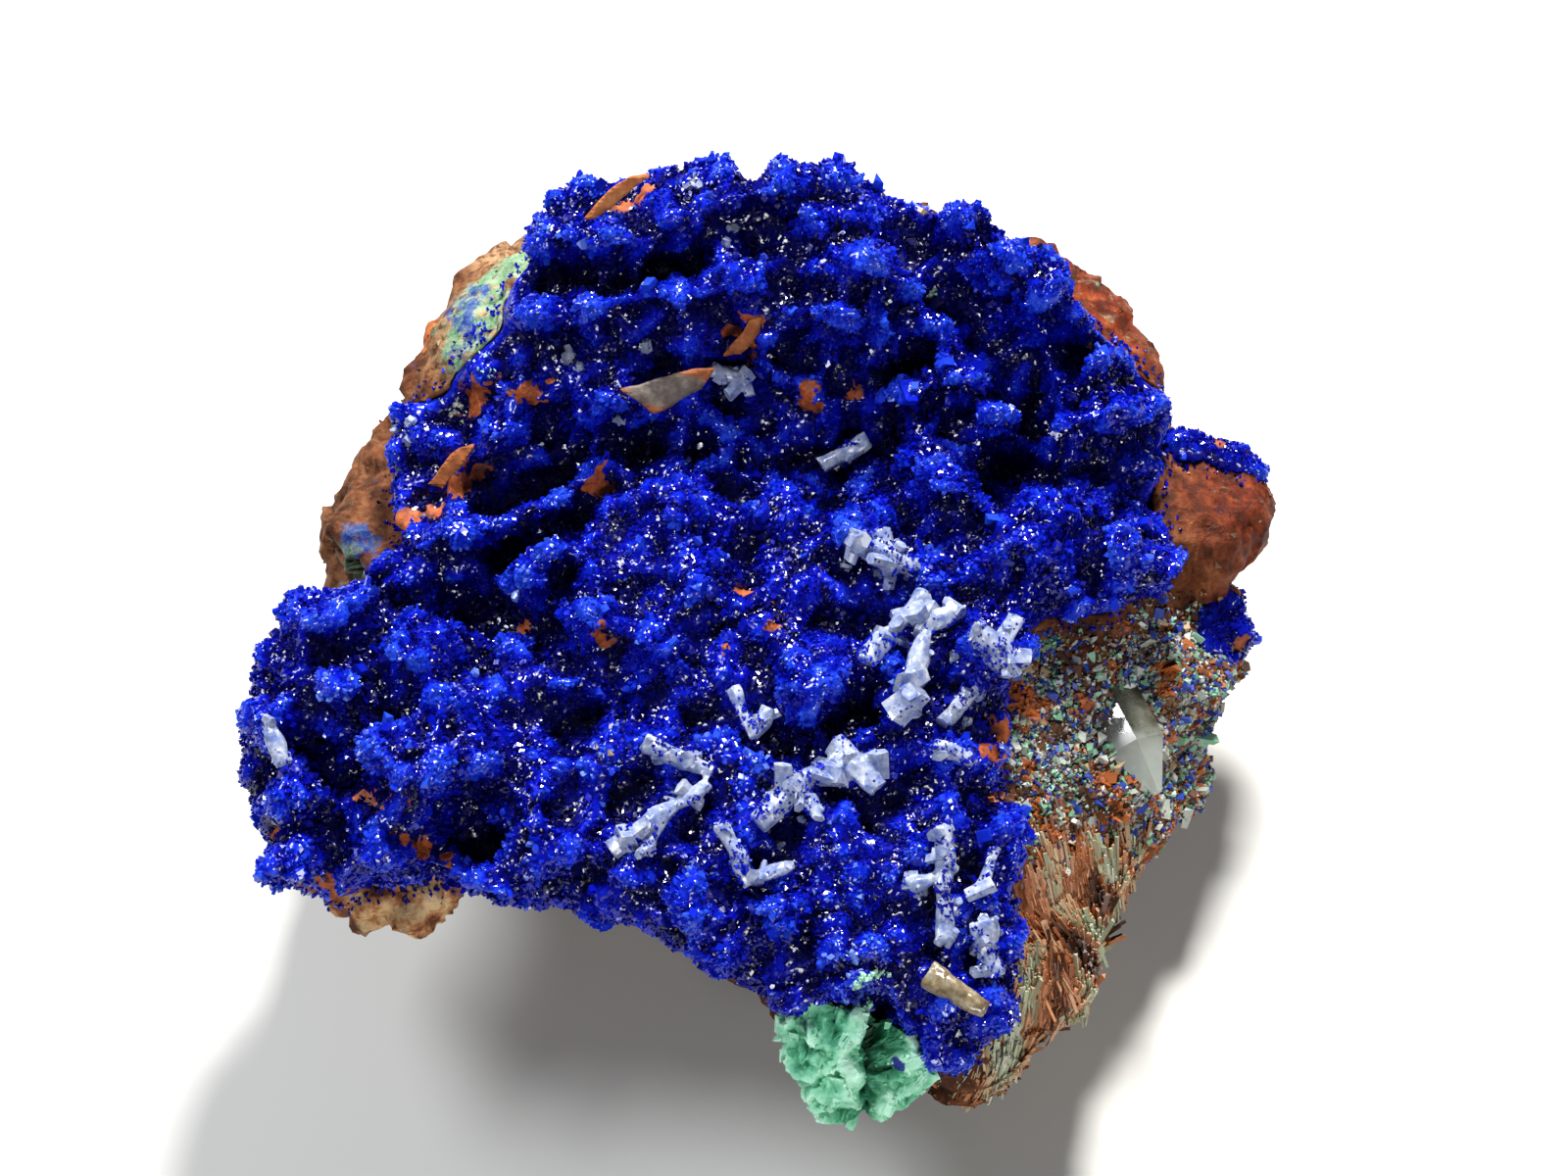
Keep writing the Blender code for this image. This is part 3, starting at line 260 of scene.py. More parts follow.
class Finish:
    def __init__(self, name, **constants):
        self.material = bpy.data.materials.new(name)
        self.material.use_nodes = True
        self.tree = self.material.node_tree
        self.shader = self.tree.nodes["Principled BSDF"]
        for key, value in constants.items():
            self.shader.inputs[key.replace("_", " ")].default_value = value

    def node(self, kind, settings, inputs, output=0):
        made = self.tree.nodes.new(kind)
        for key, value in settings.items():
            if key == "stops":
                self.setStops(made.color_ramp, value)
            else:
                setattr(made, key, value)
        for key, value in inputs.items():
            self.feed(made.inputs[key], value)
        return Sock(self, made.outputs[output])

    def setStops(self, ramp, stops):
        while len(ramp.elements) > 1:
            ramp.elements.remove(ramp.elements[-1])
        ramp.elements[0].position = stops[0][0]
        ramp.elements[0].color = (*stops[0][1], 1)
        for position, colour in stops[1:]:
            ramp.elements.new(position).color = (*colour, 1)

    def feed(self, socket, value):
        if isinstance(value, Sock):
            self.tree.links.new(value.socket, socket)
        elif isinstance(value, (tuple, list)) and socket.type == "RGBA" and len(value) == 3:
            socket.default_value = (*value, 1)
        else:
            socket.default_value = value

    def math(self, operation, a, b, clamp=False):
        return self.node("ShaderNodeMath", {"operation": operation, "use_clamp": clamp},
                         {0: a, 1: b})

    def place(self):
        return self.node("ShaderNodeTexCoord", {}, {}, "Object")

    def stretched(self, scale):
        return self.node("ShaderNodeMapping", {}, {"Vector": self.place(), "Scale": scale})

    def grain(self, size, detail=3.0, roughness=0.55, where=None):
        where = where or self.place()
        return self.node("ShaderNodeTexNoise", {}, {"Vector": where, "Scale": 1 / (size * mm),
                                                    "Detail": detail, "Roughness": roughness})

    def cell(self, size, output="Distance"):
        return self.node("ShaderNodeTexVoronoi", {},
                         {"Vector": self.place(), "Scale": 1 / (size * mm)}, output)

    def painted(self, name):
        return self.node("ShaderNodeAttribute", {"attribute_name": name}, {}, "Fac")

    def ramp(self, factor, stops):
        return self.node("ShaderNodeValToRGB", {"stops": stops}, {"Fac": factor})

    def step(self, value, low, high):
        return self.node("ShaderNodeMapRange", {"interpolation_type": "SMOOTHSTEP"},
                         {"Value": value, "From Min": low, "From Max": high})

    def mix(self, factor, a, b):
        # the colour sockets of a Mix node are inputs 6 and 7 and output 2
        return self.node("ShaderNodeMix", {"data_type": "RGBA"}, {0: factor, 6: a, 7: b}, 2)

    def facets(self, size, tilt):
        # a normal that leans another way in each small cell
        colour = self.cell(size, "Color")
        centred = self.node("ShaderNodeVectorMath", {"operation": "SUBTRACT"},
                            {0: colour, 1: (0.5, 0.5, 0.5)})
        normal = self.node("ShaderNodeNewGeometry", {}, {}, "Normal")
        leaning = self.node("ShaderNodeVectorMath", {"operation": "MULTIPLY_ADD"},
                            {0: centred, 1: (tilt, tilt, tilt), 2: normal})
        return self.node("ShaderNodeVectorMath", {"operation": "NORMALIZE"}, {0: leaning})

    def bump(self, height, strength, distance):
        return self.node("ShaderNodeBump", {}, {"Height": height, "Strength": strength,
                                                "Distance": distance * mm})

    def surface(self, **inputs):
        for key, value in inputs.items():
            self.feed(self.shader.inputs[key.replace("_", " ")], value)
        return self.material


# finishes

azuriteLook = {
    "ior": 1.66,
    "stops": [(0.0, (0.0008, 0.0008, 0.06)), (0.3, (0.001, 0.0018, 0.19)),
              (0.55, (0.0014, 0.0045, 0.34)), (0.8, (0.004, 0.018, 0.5)),
              (1.0, (0.016, 0.06, 0.6))],
}


def azuriteGrainFinish():
    look = Finish("azuriteGrain", IOR=azuriteLook["ior"], Specular_IOR_Level=0.3)
    shade = look.painted("shade")
    frost = look.painted("frost")
    patch = look.grain(1.5, 3)
    # painted shade: the grains are darker in the hollows between the lumps
    hollow = look.painted("hollow")
    tone = (shade * 0.35 + patch * 0.9 + frost * 0.4 - 1.05 * hollow + 0.3).clamp()
    blue = look.ramp(tone, azuriteLook["stops"])
    colour = look.mix(look.step(frost, 0.5, 1.0) * 0.7, blue, (0.2, 0.34, 0.8))
    dull = look.step(look.grain(0.9, 2), 0.58, 0.46)
    rough = 0.04 + 0.08 * shade + 0.16 * dull
    return look.surface(Base_Color=colour, Roughness=rough,
                        Normal=look.facets(0.07, 0.18))


def azuriteSkinFinish():
    look = Finish("azuriteSkin", IOR=azuriteLook["ior"], Specular_IOR_Level=0.3)
    rust = look.painted("rust")
    patch = look.grain(1.5, 3)
    crystal = look.cell(0.12)
    # painted shade: the skin is darker in the hollows between the lumps
    hollow = look.painted("hollow")
    tone = (patch * 0.9 + crystal * 0.2 - 1.05 * hollow + 0.28).clamp()
    blue = look.ramp(tone, azuriteLook["stops"])
    rustTone = look.grain(0.4, 6, 0.65)
    brown = look.ramp(rustTone, [(0.34, (0.04, 0.008, 0.002)), (0.5, (0.3, 0.055, 0.007)),
                                 (0.68, (0.5, 0.13, 0.02))])
    edge = look.step(rust, 0.38, 0.46)
    colour = look.mix(edge, blue, brown)
    rough = 0.16 + 0.5 * edge
    return look.surface(Base_Color=colour, Roughness=rough, Normal=look.facets(0.1, 0.6))


def rockFinish():
    look = Finish("ironStainedRock", IOR=1.5, Specular_IOR_Level=0.14)
    broad = look.grain(3.2, 5, 0.6)
    fine = look.grain(0.3, 6, 0.7)
    layer = look.grain(0.7, 5, 0.6, look.stretched((1.6, 1.6, 0.5)))
    tone = (broad * 0.4 + fine * 0.35 + layer * 0.65 - 0.2).clamp()
    colour = look.ramp(tone, [(0.25, (0.014, 0.005, 0.003)), (0.42, (0.05, 0.015, 0.006)),
                              (0.52, (0.13, 0.04, 0.014)), (0.62, (0.22, 0.09, 0.036)),
                              (0.76, (0.34, 0.22, 0.13))])
    redTone = look.ramp(layer * 0.6 + fine * 0.4,
                        [(0.32, (0.03, 0.005, 0.002)), (0.46, (0.1, 0.013, 0.003)),
                         (0.57, (0.23, 0.035, 0.007)), (0.7, (0.38, 0.11, 0.035))])
    colour = look.mix(look.painted("red"), colour, redTone)
    film = look.grain(0.5, 6, 0.7)
    spots = look.grain(0.4, 6, 0.7, look.stretched((0.6, 1.2, 1.2)))
    tan = look.painted("tan") * look.step(fine, 0.35, 0.6)
    colour = look.mix(tan, colour, (0.4, 0.24, 0.12))
    creamTone = look.ramp(look.grain(0.75, 5, 0.65), [(0.4, (0.16, 0.05, 0.025)),
                                                      (0.47, (0.42, 0.18, 0.07)),
                                                      (0.57, (0.66, 0.46, 0.24))])
    colour = look.mix(look.step(look.painted("cream"), 0.1, 0.4), colour, creamTone)
    rusty = look.step(look.painted("orange") * 0.8 + 2 * film - 1, 0.2, 0.5)
    rustTone = look.ramp(fine, [(0.32, (0.14, 0.03, 0.007)), (0.5, (0.36, 0.1, 0.024)),
                                (0.68, (0.52, 0.26, 0.11))])
    colour = look.mix(rusty, colour, rustTone)
    green = look.step(look.painted("green") * 0.85 + 3 * spots - 1.5, 0.3, 0.9)
    greenTone = look.ramp(fine, [(0.35, (0.08, 0.22, 0.11)), (0.5, (0.19, 0.33, 0.19)),
                                 (0.65, (0.36, 0.4, 0.27))])
    colour = look.mix(green, colour, greenTone)
    blue = look.step(look.painted("blue") * 0.8 + 3.2 * (1 - film) - 1.6, 0.42, 0.9)
    colour = look.mix(blue, colour, look.ramp(fine, [(0.4, (0.01, 0.03, 0.2)),
                                                     (0.65, (0.1, 0.17, 0.36))]))
    pits = look.step(look.grain(0.2, 4, 0.7), 0.3, 0.4)
    colour = look.mix(0.35 - 0.35 * pits, colour, (0.02, 0.008, 0.005))
    # painted shade: near black in the cracks between the broken faces
    colour = look.mix(0.75 * look.painted("crease"), colour, (0.016, 0.006, 0.004))
    rough = (0.7 - 0.25 * look.painted("red") + 0.3 * (fine - 0.5)).clamp()
    height = fine * 0.6 + layer * 0.7
    return look.surface(Base_Color=colour, Roughness=rough,
                        Normal=look.bump(height, 0.9, 0.16))


def malachiteFinish():
    look = Finish("malachite", IOR=1.6, Specular_IOR_Level=0.35)
    fine = look.grain(0.12, 5, 0.7)
    patch = look.grain(0.6, 3)
    # painted highlight on the ridges and painted shade in the hollows and the gap
    raised = look.painted("raised")
    tone = (raised * 0.9 + fine * 0.4 + patch * 0.3 - 0.33).clamp()
    colour = look.ramp(tone, [(0.05, (0.005, 0.05, 0.022)), (0.2, (0.02, 0.2, 0.095)),
                              (0.38, (0.08, 0.42, 0.23)), (0.58, (0.27, 0.7, 0.45)),
                              (0.82, (0.55, 0.92, 0.72))])
    colour = look.mix(look.step(look.painted("spot"), 0.4, 0.6), colour, (0.01, 0.02, 0.26))
    return look.surface(Base_Color=colour, Roughness=0.6 - 0.35 * fine,
                        Normal=look.bump(fine, 0.7, 0.06))


def quartzFinish():
    look = Finish("clearQuartz", IOR=1.54, Transmission_Weight=0.6)
    cloud = look.grain(0.6, 4, 0.6)
    milk = (look.painted("cloudy") + 0.7 * cloud - 0.35).clamp()
    colour = look.mix(milk, look.ramp(cloud, [(0.35, (0.1, 0.095, 0.065)),
                                              (0.6, (0.3, 0.3, 0.23))]), (0.66, 0.72, 0.66))
    return look.surface(Base_Color=colour, Roughness=0.04 + 0.2 * milk,
                        Normal=look.bump(look.grain(0.6, 2), 0.15, 0.04))


def lathFinish(name, stops):
    look = Finish(name, IOR=1.52, Transmission_Weight=0.3)
    cloud = look.grain(0.3, 5, 0.65)
    fleck = 1 - look.step(look.cell(0.14), 0.2, 0.34)
    cover = look.step(look.grain(0.6, 4), 0.5, 0.6)
    colour = look.ramp(cloud, stops)
    colour = look.mix((cover * fleck).clamp(), colour, (0.008, 0.02, 0.34))
    rough = 0.08 + 0.3 * cloud
    return look.surface(Base_Color=colour, Roughness=rough,
                        Normal=look.facets(0.26, 0.4))


def flakeFinish():
    look = Finish("rustyFlake", IOR=1.5, Specular_IOR_Level=0.3)
    tone = look.grain(0.45, 6, 0.65)
    grey = look.painted("grey")
    brown = look.ramp(tone, [(0.25, (0.06, 0.016, 0.006)), (0.5, (0.3, 0.08, 0.016)),
                             (0.75, (0.48, 0.2, 0.06))])
    stone = look.ramp(tone, [(0.3, (0.05, 0.035, 0.028)), (0.5, (0.14, 0.11, 0.09)),
                             (0.7, (0.3, 0.25, 0.21))])
    colour = look.mix(grey, brown, stone)
    return look.surface(Base_Color=colour, Roughness=0.75 - 0.3 * tone,
                        Normal=look.bump(tone, 0.7, 0.08))


# what a grain is, along the "kind" attribute
kinds = {"brown": 0.05, "rust": 0.17, "tan": 0.29, "grey": 0.41, "green": 0.53, "mint": 0.65,
         "blue": 0.77, "white": 0.89, "yellow": 0.98}


def debrisFinish():
    look = Finish("mixedGrit", IOR=1.55, Specular_IOR_Level=0.4)
    kind = look.painted("kind")
    shade = look.painted("shade")
    colour = look.ramp(kind, [
        (0.05, (0.14, 0.06, 0.03)), (0.17, (0.46, 0.12, 0.025)), (0.29, (0.52, 0.37, 0.22)),
        (0.41, (0.4, 0.43, 0.38)), (0.53, (0.2, 0.46, 0.28)), (0.65, (0.38, 0.7, 0.5)),
        (0.77, (0.02, 0.06, 0.42)), (0.89, (0.7, 0.74, 0.68)), (0.98, (0.55, 0.36, 0.03))])
    streak = look.grain(0.16, 4, 0.7)
    colour = look.mix(0.6 * shade * streak, colour, (0.03, 0.015, 0.01))
    return look.surface(Base_Color=colour, Roughness=0.25 + 0.45 * streak,
                        Normal=look.bump(streak, 0.5, 0.04))


def fibreFinish():
    look = Finish("fibrousRock", IOR=1.55, Specular_IOR_Level=0.35)
    streak = look.grain(0.12, 4, 0.7)
    tone = (look.painted("kind") + 0.3 * (streak - 0.5)).clamp()
    colour = look.ramp(tone, [
        (0.05, (0.06, 0.02, 0.008)), (0.2, (0.2, 0.065, 0.022)), (0.38, (0.46, 0.15, 0.05)),
        (0.52, (0.6, 0.25, 0.11)), (0.66, (0.56, 0.4, 0.24)), (0.8, (0.4, 0.48, 0.3)),
        (0.94, (0.66, 0.68, 0.54))])
    colour = look.mix(0.4 * look.painted("shade"), colour, (0.07, 0.03, 0.015))
    return look.surface(Base_Color=colour, Roughness=0.22 + 0.4 * streak,
                        Normal=look.bump(streak, 0.4, 0.03))


# azurite

azurite = {
    "voxel": 0.121, "sharpen": 1.0, "outLimit": 0.14, "inLimit": 0.42, "inset": 0.08,
    "lobeSize": 1.05, "lobeHeight": 0.5, "knotSize": 0.5, "knotHeight": 0.17,
    "grainPieces": 4, "grainsPerPiece": 15000, "grainSize": 0.108, "frostShare": 0.05,
    "bigShare": 0.03, "bigGain": 2.1, "grainsOnLumps": 700,
}

# lighter, powdery places on the crust, as seen: u, v, reach
frostPatches = [
    (-5.5, -5.1, 1.1), (-3.4, -3.5, 0.8), (-5.3, 1.3, 0.9), (-6.3, -1.3, 0.9), (-5.2, 7.5, 0.8),
    (-5.1, 11.3, 0.8), (-2.0, 8.6, 0.7), (0.7, 8.9, 0.6), (2.5, -5.6, 1.3), (-1.6, -5.6, 1.0),
    (0.7, -0.8, 0.9), (5.6, 4.4, 0.7), (-3.6, 1.3, 0.7), (-10.0, -1.3, 0.8), (-0.9, -2.7, 0.7),
    (2.5, -8.4, 1.3), (0.0, -3.5, 0.9), (-3.0, -4.4, 0.9), (3.8, 1.5, 0.8), (0.2, 11.2, 0.6),
    (1.8, 6.6, 0.5), (4.6, -7.4, 0.9), (4.2, -0.6, 0.8), (-2.8, 7.9, 0.4), (-7.9, -3.0, 0.9),
]

# rust-coloured places in the crust, as seen: u, v, half length, half width, turn
rustPatches = [
    (-3.4, 12.0, 0.85, 0.3, 40), (-5.8, 6.7, 0.55, 0.3, 20), (-7.0, 6.5, 0.6, 0.35, 30),
    (-9.0, 4.6, 0.5, 0.35, 0), (-3.9, 4.1, 0.4, 0.28, 30), (-8.3, 3.3, 0.7, 0.35, 30),
    (-0.3, 8.1, 0.5, 0.45, 60), (1.4, 6.6, 0.3, 0.35, 0), (-7.4, 4.1, 0.8, 0.35, 40),
    (-0.4, 1.2, 0.3, 0.16, 0), (0.4, 0.3, 0.3, 0.15, 20), (-3.7, 0.0, 0.25, 0.14, 0),
    (-8.6, -4.2, 0.8, 0.2, -20), (-7.8, -5.2, 0.6, 0.22, -10), (-11.0, -4.9, 0.35, 0.25, 0),
    (5.9, -2.6, 0.4, 0.9, 0), (-9.6, -6.3, 0.6, 0.3, -20), (4.4, 12.1, 0.6, 0.3, 0),
    (-5.5, 0.2, 0.3, 0.15, 0), (2.4, 6.5, 0.25, 0.25, 0), (5.7, -2.9, 0.35, 0.3, 0),
]


def faceCoordinates(points):
    toFace = np.array(faceToWorld.inverted())[:3, :]
    return points @ toFace[:, :3].T + toFace[:, 3]


def rustMask(points, searchTree):
    mask = np.zeros(len(points))
    wobble = 1.1 * ripple(points, 0.45) + 0.7 * ripple(points, 0.2, 4.0)
    local = faceCoordinates(points)
    for u, v, length, width, turn in rustPatches:
        place, _ = seenPoint(searchTree, u, v)
        if place is None:
            continue
        centre = faceToWorld.inverted() @ place
        angle = math.radians(turn)
        across = local[:, 0] - centre.x
        along = local[:, 1] - centre.y
        first = (across * math.cos(angle) + along * math.sin(angle)) / length
        second = (along * math.cos(angle) - across * math.sin(angle)) / width
        depth = (local[:, 2] - centre.z) / 0.9
        reach = 1.25 - np.sqrt(first ** 2 + second ** 2 + depth ** 2) + wobble
        mask = np.maximum(mask, np.clip(reach, 0, 1))
    return mask


def azuriteSkin(node, rockTree):
    onCrust = node == "azurite_crust"
    lively = 1.0 if onCrust else 0.3
    skin = remeshed(copyOfNode([node], node.replace("azurite_", "skin_")), azurite["voxel"],
                    1 if onCrust else 5)
    mesh = skin.data
    points, normals = meshArrays(mesh)
    soft = relaxed(mesh, points, 24)
    push = azurite["sharpen"] * np.sum((points - soft) * normals, axis=1)
    push = np.clip(push, -azurite["inLimit"], azurite["outLimit"])
    hidden, _ = nearest(rockTree, points, 1.2)
    exposed = smoothStep((hidden - 0.35) / 0.4)
    bent = points + 0.25 * np.stack([ripple(points, 0.9, shift) for shift in (1.0, 5.0, 9.0)], 1)
    lobes = azurite["lobeHeight"] * (cells(bent, azurite["lobeSize"], 3.0) - 0.74)
    knots = azurite["knotHeight"] * (cells(bent, azurite["knotSize"], 8.0) - 0.6)
    fine = 0.03 * ripple(points, 0.2) - azurite["inset"]
    height = lively * (push + lobes + knots) + fine
    points = points + normals * (height * exposed)[:, None]
    setPoints(mesh, points)
    points, normals = meshArrays(mesh)
    # painted shade: the deeper a point lies below its smoothed neighbours, the darker it is coloured
    below = np.sum((relaxed(mesh, points, 20) - points) * normals, axis=1)
    paint(mesh, "hollow", np.clip(0.5 + below / 0.22, 0, 1))
    if onCrust:
        rust = rustMask(points, tree(skin))
    else:
        middle = points[:, 2].mean()
        rust = np.clip(0.15 + 1.3 * ripple(points, 0.6, 2.0) + 0.3 * (middle - points[:, 2]), 0, 1)
    paint(mesh, "rust", rust)
    paint(mesh, "exposed", exposed)
    return skin


def facets(mesh):
    mesh.calc_loop_triangles()
    corners = np.empty(len(mesh.loop_triangles) * 3, dtype=np.int64)
    mesh.loop_triangles.foreach_get("vertices", corners)
    return corners.reshape(-1, 3)


def layerValues(mesh, name):
    values = np.empty(len(mesh.vertices), dtype=np.float32)
    mesh.attributes[name].data.foreach_get("value", values)
    return values


def scatterOn(mesh, weights, count, rng):
    # random places on the surface, denser where the weights are higher
    points, normals = meshArrays(mesh)
    corners = facets(mesh)
    a, b, c = (points[corners[:, i]] for i in range(3))
    area = np.linalg.norm(np.cross(b - a, c - a), axis=1) * weights[corners].mean(axis=1)
    chosen = rng.choice(len(corners), size=count, p=area / area.sum())
    r = np.sqrt(rng.random(count))[:, None]
    s = rng.random(count)[:, None]
    place = (1 - r) * a[chosen] + r * (1 - s) * b[chosen] + r * s * c[chosen]
    return place, unit(normals[corners[chosen]].mean(axis=1)), corners[chosen, 0]


def crystalShape(sides, taper, lean, height):
    # a small leaning prism with a slanted top
    work = bmesh.new()
    bmesh.ops.create_cone(work, cap_ends=True, segments=sides, radius1=0.5, radius2=0.5 * taper,
                          depth=height)
    for vertex in work.verts:
        if vertex.co.z > 0:
            vertex.co.x += lean[0]
            vertex.co.y += lean[1]
            vertex.co.z += 0.24 * vertex.co.x
    bmesh.ops.triangulate(work, faces=work.faces[:])
    points = np.array([v.co[:] for v in work.verts])
    triangles = np.array([[v.index for v in f.verts] for f in work.faces])
    work.free()
    return points, triangles


def unit(vectors):
    return vectors / np.maximum(np.linalg.norm(vectors, axis=1), 1e-9)[:, None]


def crystalCloud(name, shapes, place, normal, size, spread, rng):
    # one mesh of many crystals, and for each of its points the crystal it belongs to
    count = len(place)
    axis = unit(normal + spread * rng.normal(size=(count, 3)))
    side = unit(np.cross(axis, rng.normal(size=(count, 3))))
    other = np.cross(axis, side)
    kind = rng.integers(0, len(shapes), count)
    scale = size[:, None] * np.stack((rng.uniform(0.8, 1.3, count), rng.uniform(0.6, 1.0, count),
                                      rng.uniform(0.8, 1.3, count)), axis=1)
    allPoints = []
    allFaces = []
    owners = []
    start = 0
    for index, (points, triangles) in enumerate(shapes):
        mine = np.flatnonzero(kind == index)
        local = points[None] * scale[mine][:, None, :]
        world = (local[..., :1] * side[mine][:, None] + local[..., 1:2] * other[mine][:, None]
                 + local[..., 2:] * axis[mine][:, None] + place[mine][:, None])
        offsets = start + len(points) * np.arange(len(mine))
        allPoints.append(world.reshape(-1, 3))
        allFaces.append((triangles[None] + offsets[:, None, None]).reshape(-1, 3))
        owners.append(np.repeat(mine, len(points)))
        start += len(points) * len(mine)
    points = np.concatenate(allPoints)
    faces = np.concatenate(allFaces)
    mesh = bpy.data.meshes.new(name)
    mesh.vertices.add(len(points))
    mesh.vertices.foreach_set("co", points.astype(np.float32).ravel())
    mesh.loops.add(faces.size)
    mesh.loops.foreach_set("vertex_index", faces.astype(np.int32).ravel())
    mesh.polygons.add(len(faces))
    mesh.polygons.foreach_set("loop_start", np.arange(0, faces.size, 3, dtype=np.int32))
    mesh.update(calc_edges=True)
    mesh.validate()
    return addObject(name, mesh), np.concatenate(owners)


grainShapes = [
    crystalShape(4, 0.62, (0.08, 0.0), 1.0), crystalShape(4, 0.8, (-0.05, 0.1), 0.8),
    crystalShape(3, 0.7, (0.1, -0.05), 1.1), crystalShape(4, 0.5, (0.0, 0.12), 1.3),
    crystalShape(3, 0.5, (0.05, 0.08), 0.9),
]


# cheaper shapes for what is scattered by the thousand
gritShapes = [
    crystalShape(3, 0.75, (0.1, -0.05), 1.0), crystalShape(3, 0.6, (0.0, 0.1), 1.3),
    crystalShape(4, 0.7, (0.08, 0.0), 0.9), crystalShape(3, 0.85, (-0.1, 0.0), 0.8),
]


def weightsOf(skin):
    return (layerValues(skin.data, "exposed") + 0.3) * (layerValues(skin.data, "rust") < 0.42)


def azuriteGrains(skins, finish):
    rng = np.random.default_rng(11)
    crust = skins[0]
    crustTree = tree(crust)
    exposed = layerValues(crust.data, "exposed")
    rust = layerValues(crust.data, "rust")
    _, normals = meshArrays(crust.data)
    facing = 0.25 + 0.75 * smoothStep((normals @ np.array([0.0, -0.35, 0.94]) + 0.35) / 0.7)
    weights = np.clip(exposed, 0.02, 1) * facing * (rust < 0.42)
    for piece in range(azurite["grainPieces"]):
        place, normal, vertex = scatterOn(crust.data, weights, azurite["grainsPerPiece"], rng)
        # each grain takes the painted shade of the hollow it sits in
        hollow = layerValues(crust.data, "hollow")[vertex]
        if piece == 0:
            for lump in skins[1:]:
                extra, extraNormal, vertex = scatterOn(lump.data, weightsOf(lump),
                                                       azurite["grainsOnLumps"], rng)
                place = np.concatenate((place, extra))
                normal = np.concatenate((normal, extraNormal))
                hollow = np.concatenate((hollow, layerValues(lump.data, "hollow")[vertex]))
        size = azurite["grainSize"] * np.exp(rng.normal(0, 0.33, len(place)))
        size *= 1 + 0.4 * ripple(place, 2.2, 5.0)
        size[rng.random(len(size)) < azurite["bigShare"]] *= azurite["bigGain"]
        place = place - normal * (0.1 * size)[:, None]
        bristle = 0.05 + 0.24 * smoothStep(0.45 + 2.2 * ripple(place, 1.4, 21.0))
        cloud, owners = crystalCloud("azurite_grains_" + "abcd"[piece], grainShapes, place, normal,
                                     size, bristle[:, None], rng)
        powder = patchMask(place, crustTree, frostPatches)
        chance = azurite["frostShare"] + 0.3 * powder
        frost = 0.45 * powder + 0.9 * (rng.random(len(place)) < chance) * rng.random(len(place))
        paint(cloud.data, "shade", rng.random(len(place))[owners])
        # the frost fades in the hollows, and the painted hollow shade is carried onto every grain
        paint(cloud.data, "frost", np.clip(frost * (1.2 - hollow), 0, 1)[owners])
        paint(cloud.data, "hollow", hollow[owners])
        finishPiece(cloud, finish)
    print("azurite grains", azurite["grainPieces"] * azurite["grainsPerPiece"])


# rock

rock = {
    "voxel": 0.14, "lumpSize": 1.1, "lumpHeight": 0.14, "roughHeight": 0.09,
    "reaches": (1.5, 0.75, 0.75, 0.75),
    "largeFaces": (1.9, 0.45), "smallFaces": (0.8, 0.4), "crackDepth": 0.06, "edgeSize": 0.11,
    "fibreCount": 17000, "fibreSize": 0.058, "gritCount": 14500, "gritSize": 0.09,
    "edgeGrains": 2600,
}

# stains on the rock, as seen: u, v, reach
rockStains = {
    "green": [(-6.3, 10.4, 1.4), (-7.2, 8.4, 1.5), (-6.9, 7.4, 1.2), (-7.0, 9.5, 1.4),
              (-9.7, 2.0, 0.7)],
    "blue": [(-7.4, 9.25, 0.9), (-7.3, 8.3, 0.8), (-9.7, 2.4, 0.8)],
    "orange": [(-6.2, 11.1, 0.8), (-8.4, 8.4, 1.4), (-8.8, 7.4, 1.1), (-7.8, 10.0, 1.0),
               (-10.4, 4.2, 0.8), (6.3, -1.6, 0.6), (9.75, -1.4, 0.28), (11.4, -1.9, 0.36)],
    "tan": [(-7.2, 8.8, 2.0), (-6.4, 10.6, 1.3)],
}


def regionMask(points, centre, radii):
    offset = (points - np.array(centre)) / np.array(radii)
    return smoothStep(1.35 - np.linalg.norm(offset, axis=1))


def broken(points, size, shift):
    # flat faces, each with a slant of its own, and the cracks between them
    height = np.empty(len(points))
    crack = np.empty(len(points))
    for index, (x, y, z) in enumerate((points / size + shift).tolist()):
        distances, seeds = noise.voronoi((x, y, z))
        offset = Vector((x, y, z)) - seeds[0]
        height[index] = offset.dot(noise.noise_vector(seeds[0] * 3.7))
        crack[index] = distances[1] - distances[0]
    return size * height, np.clip(1 - crack / 0.14, 0, 1)


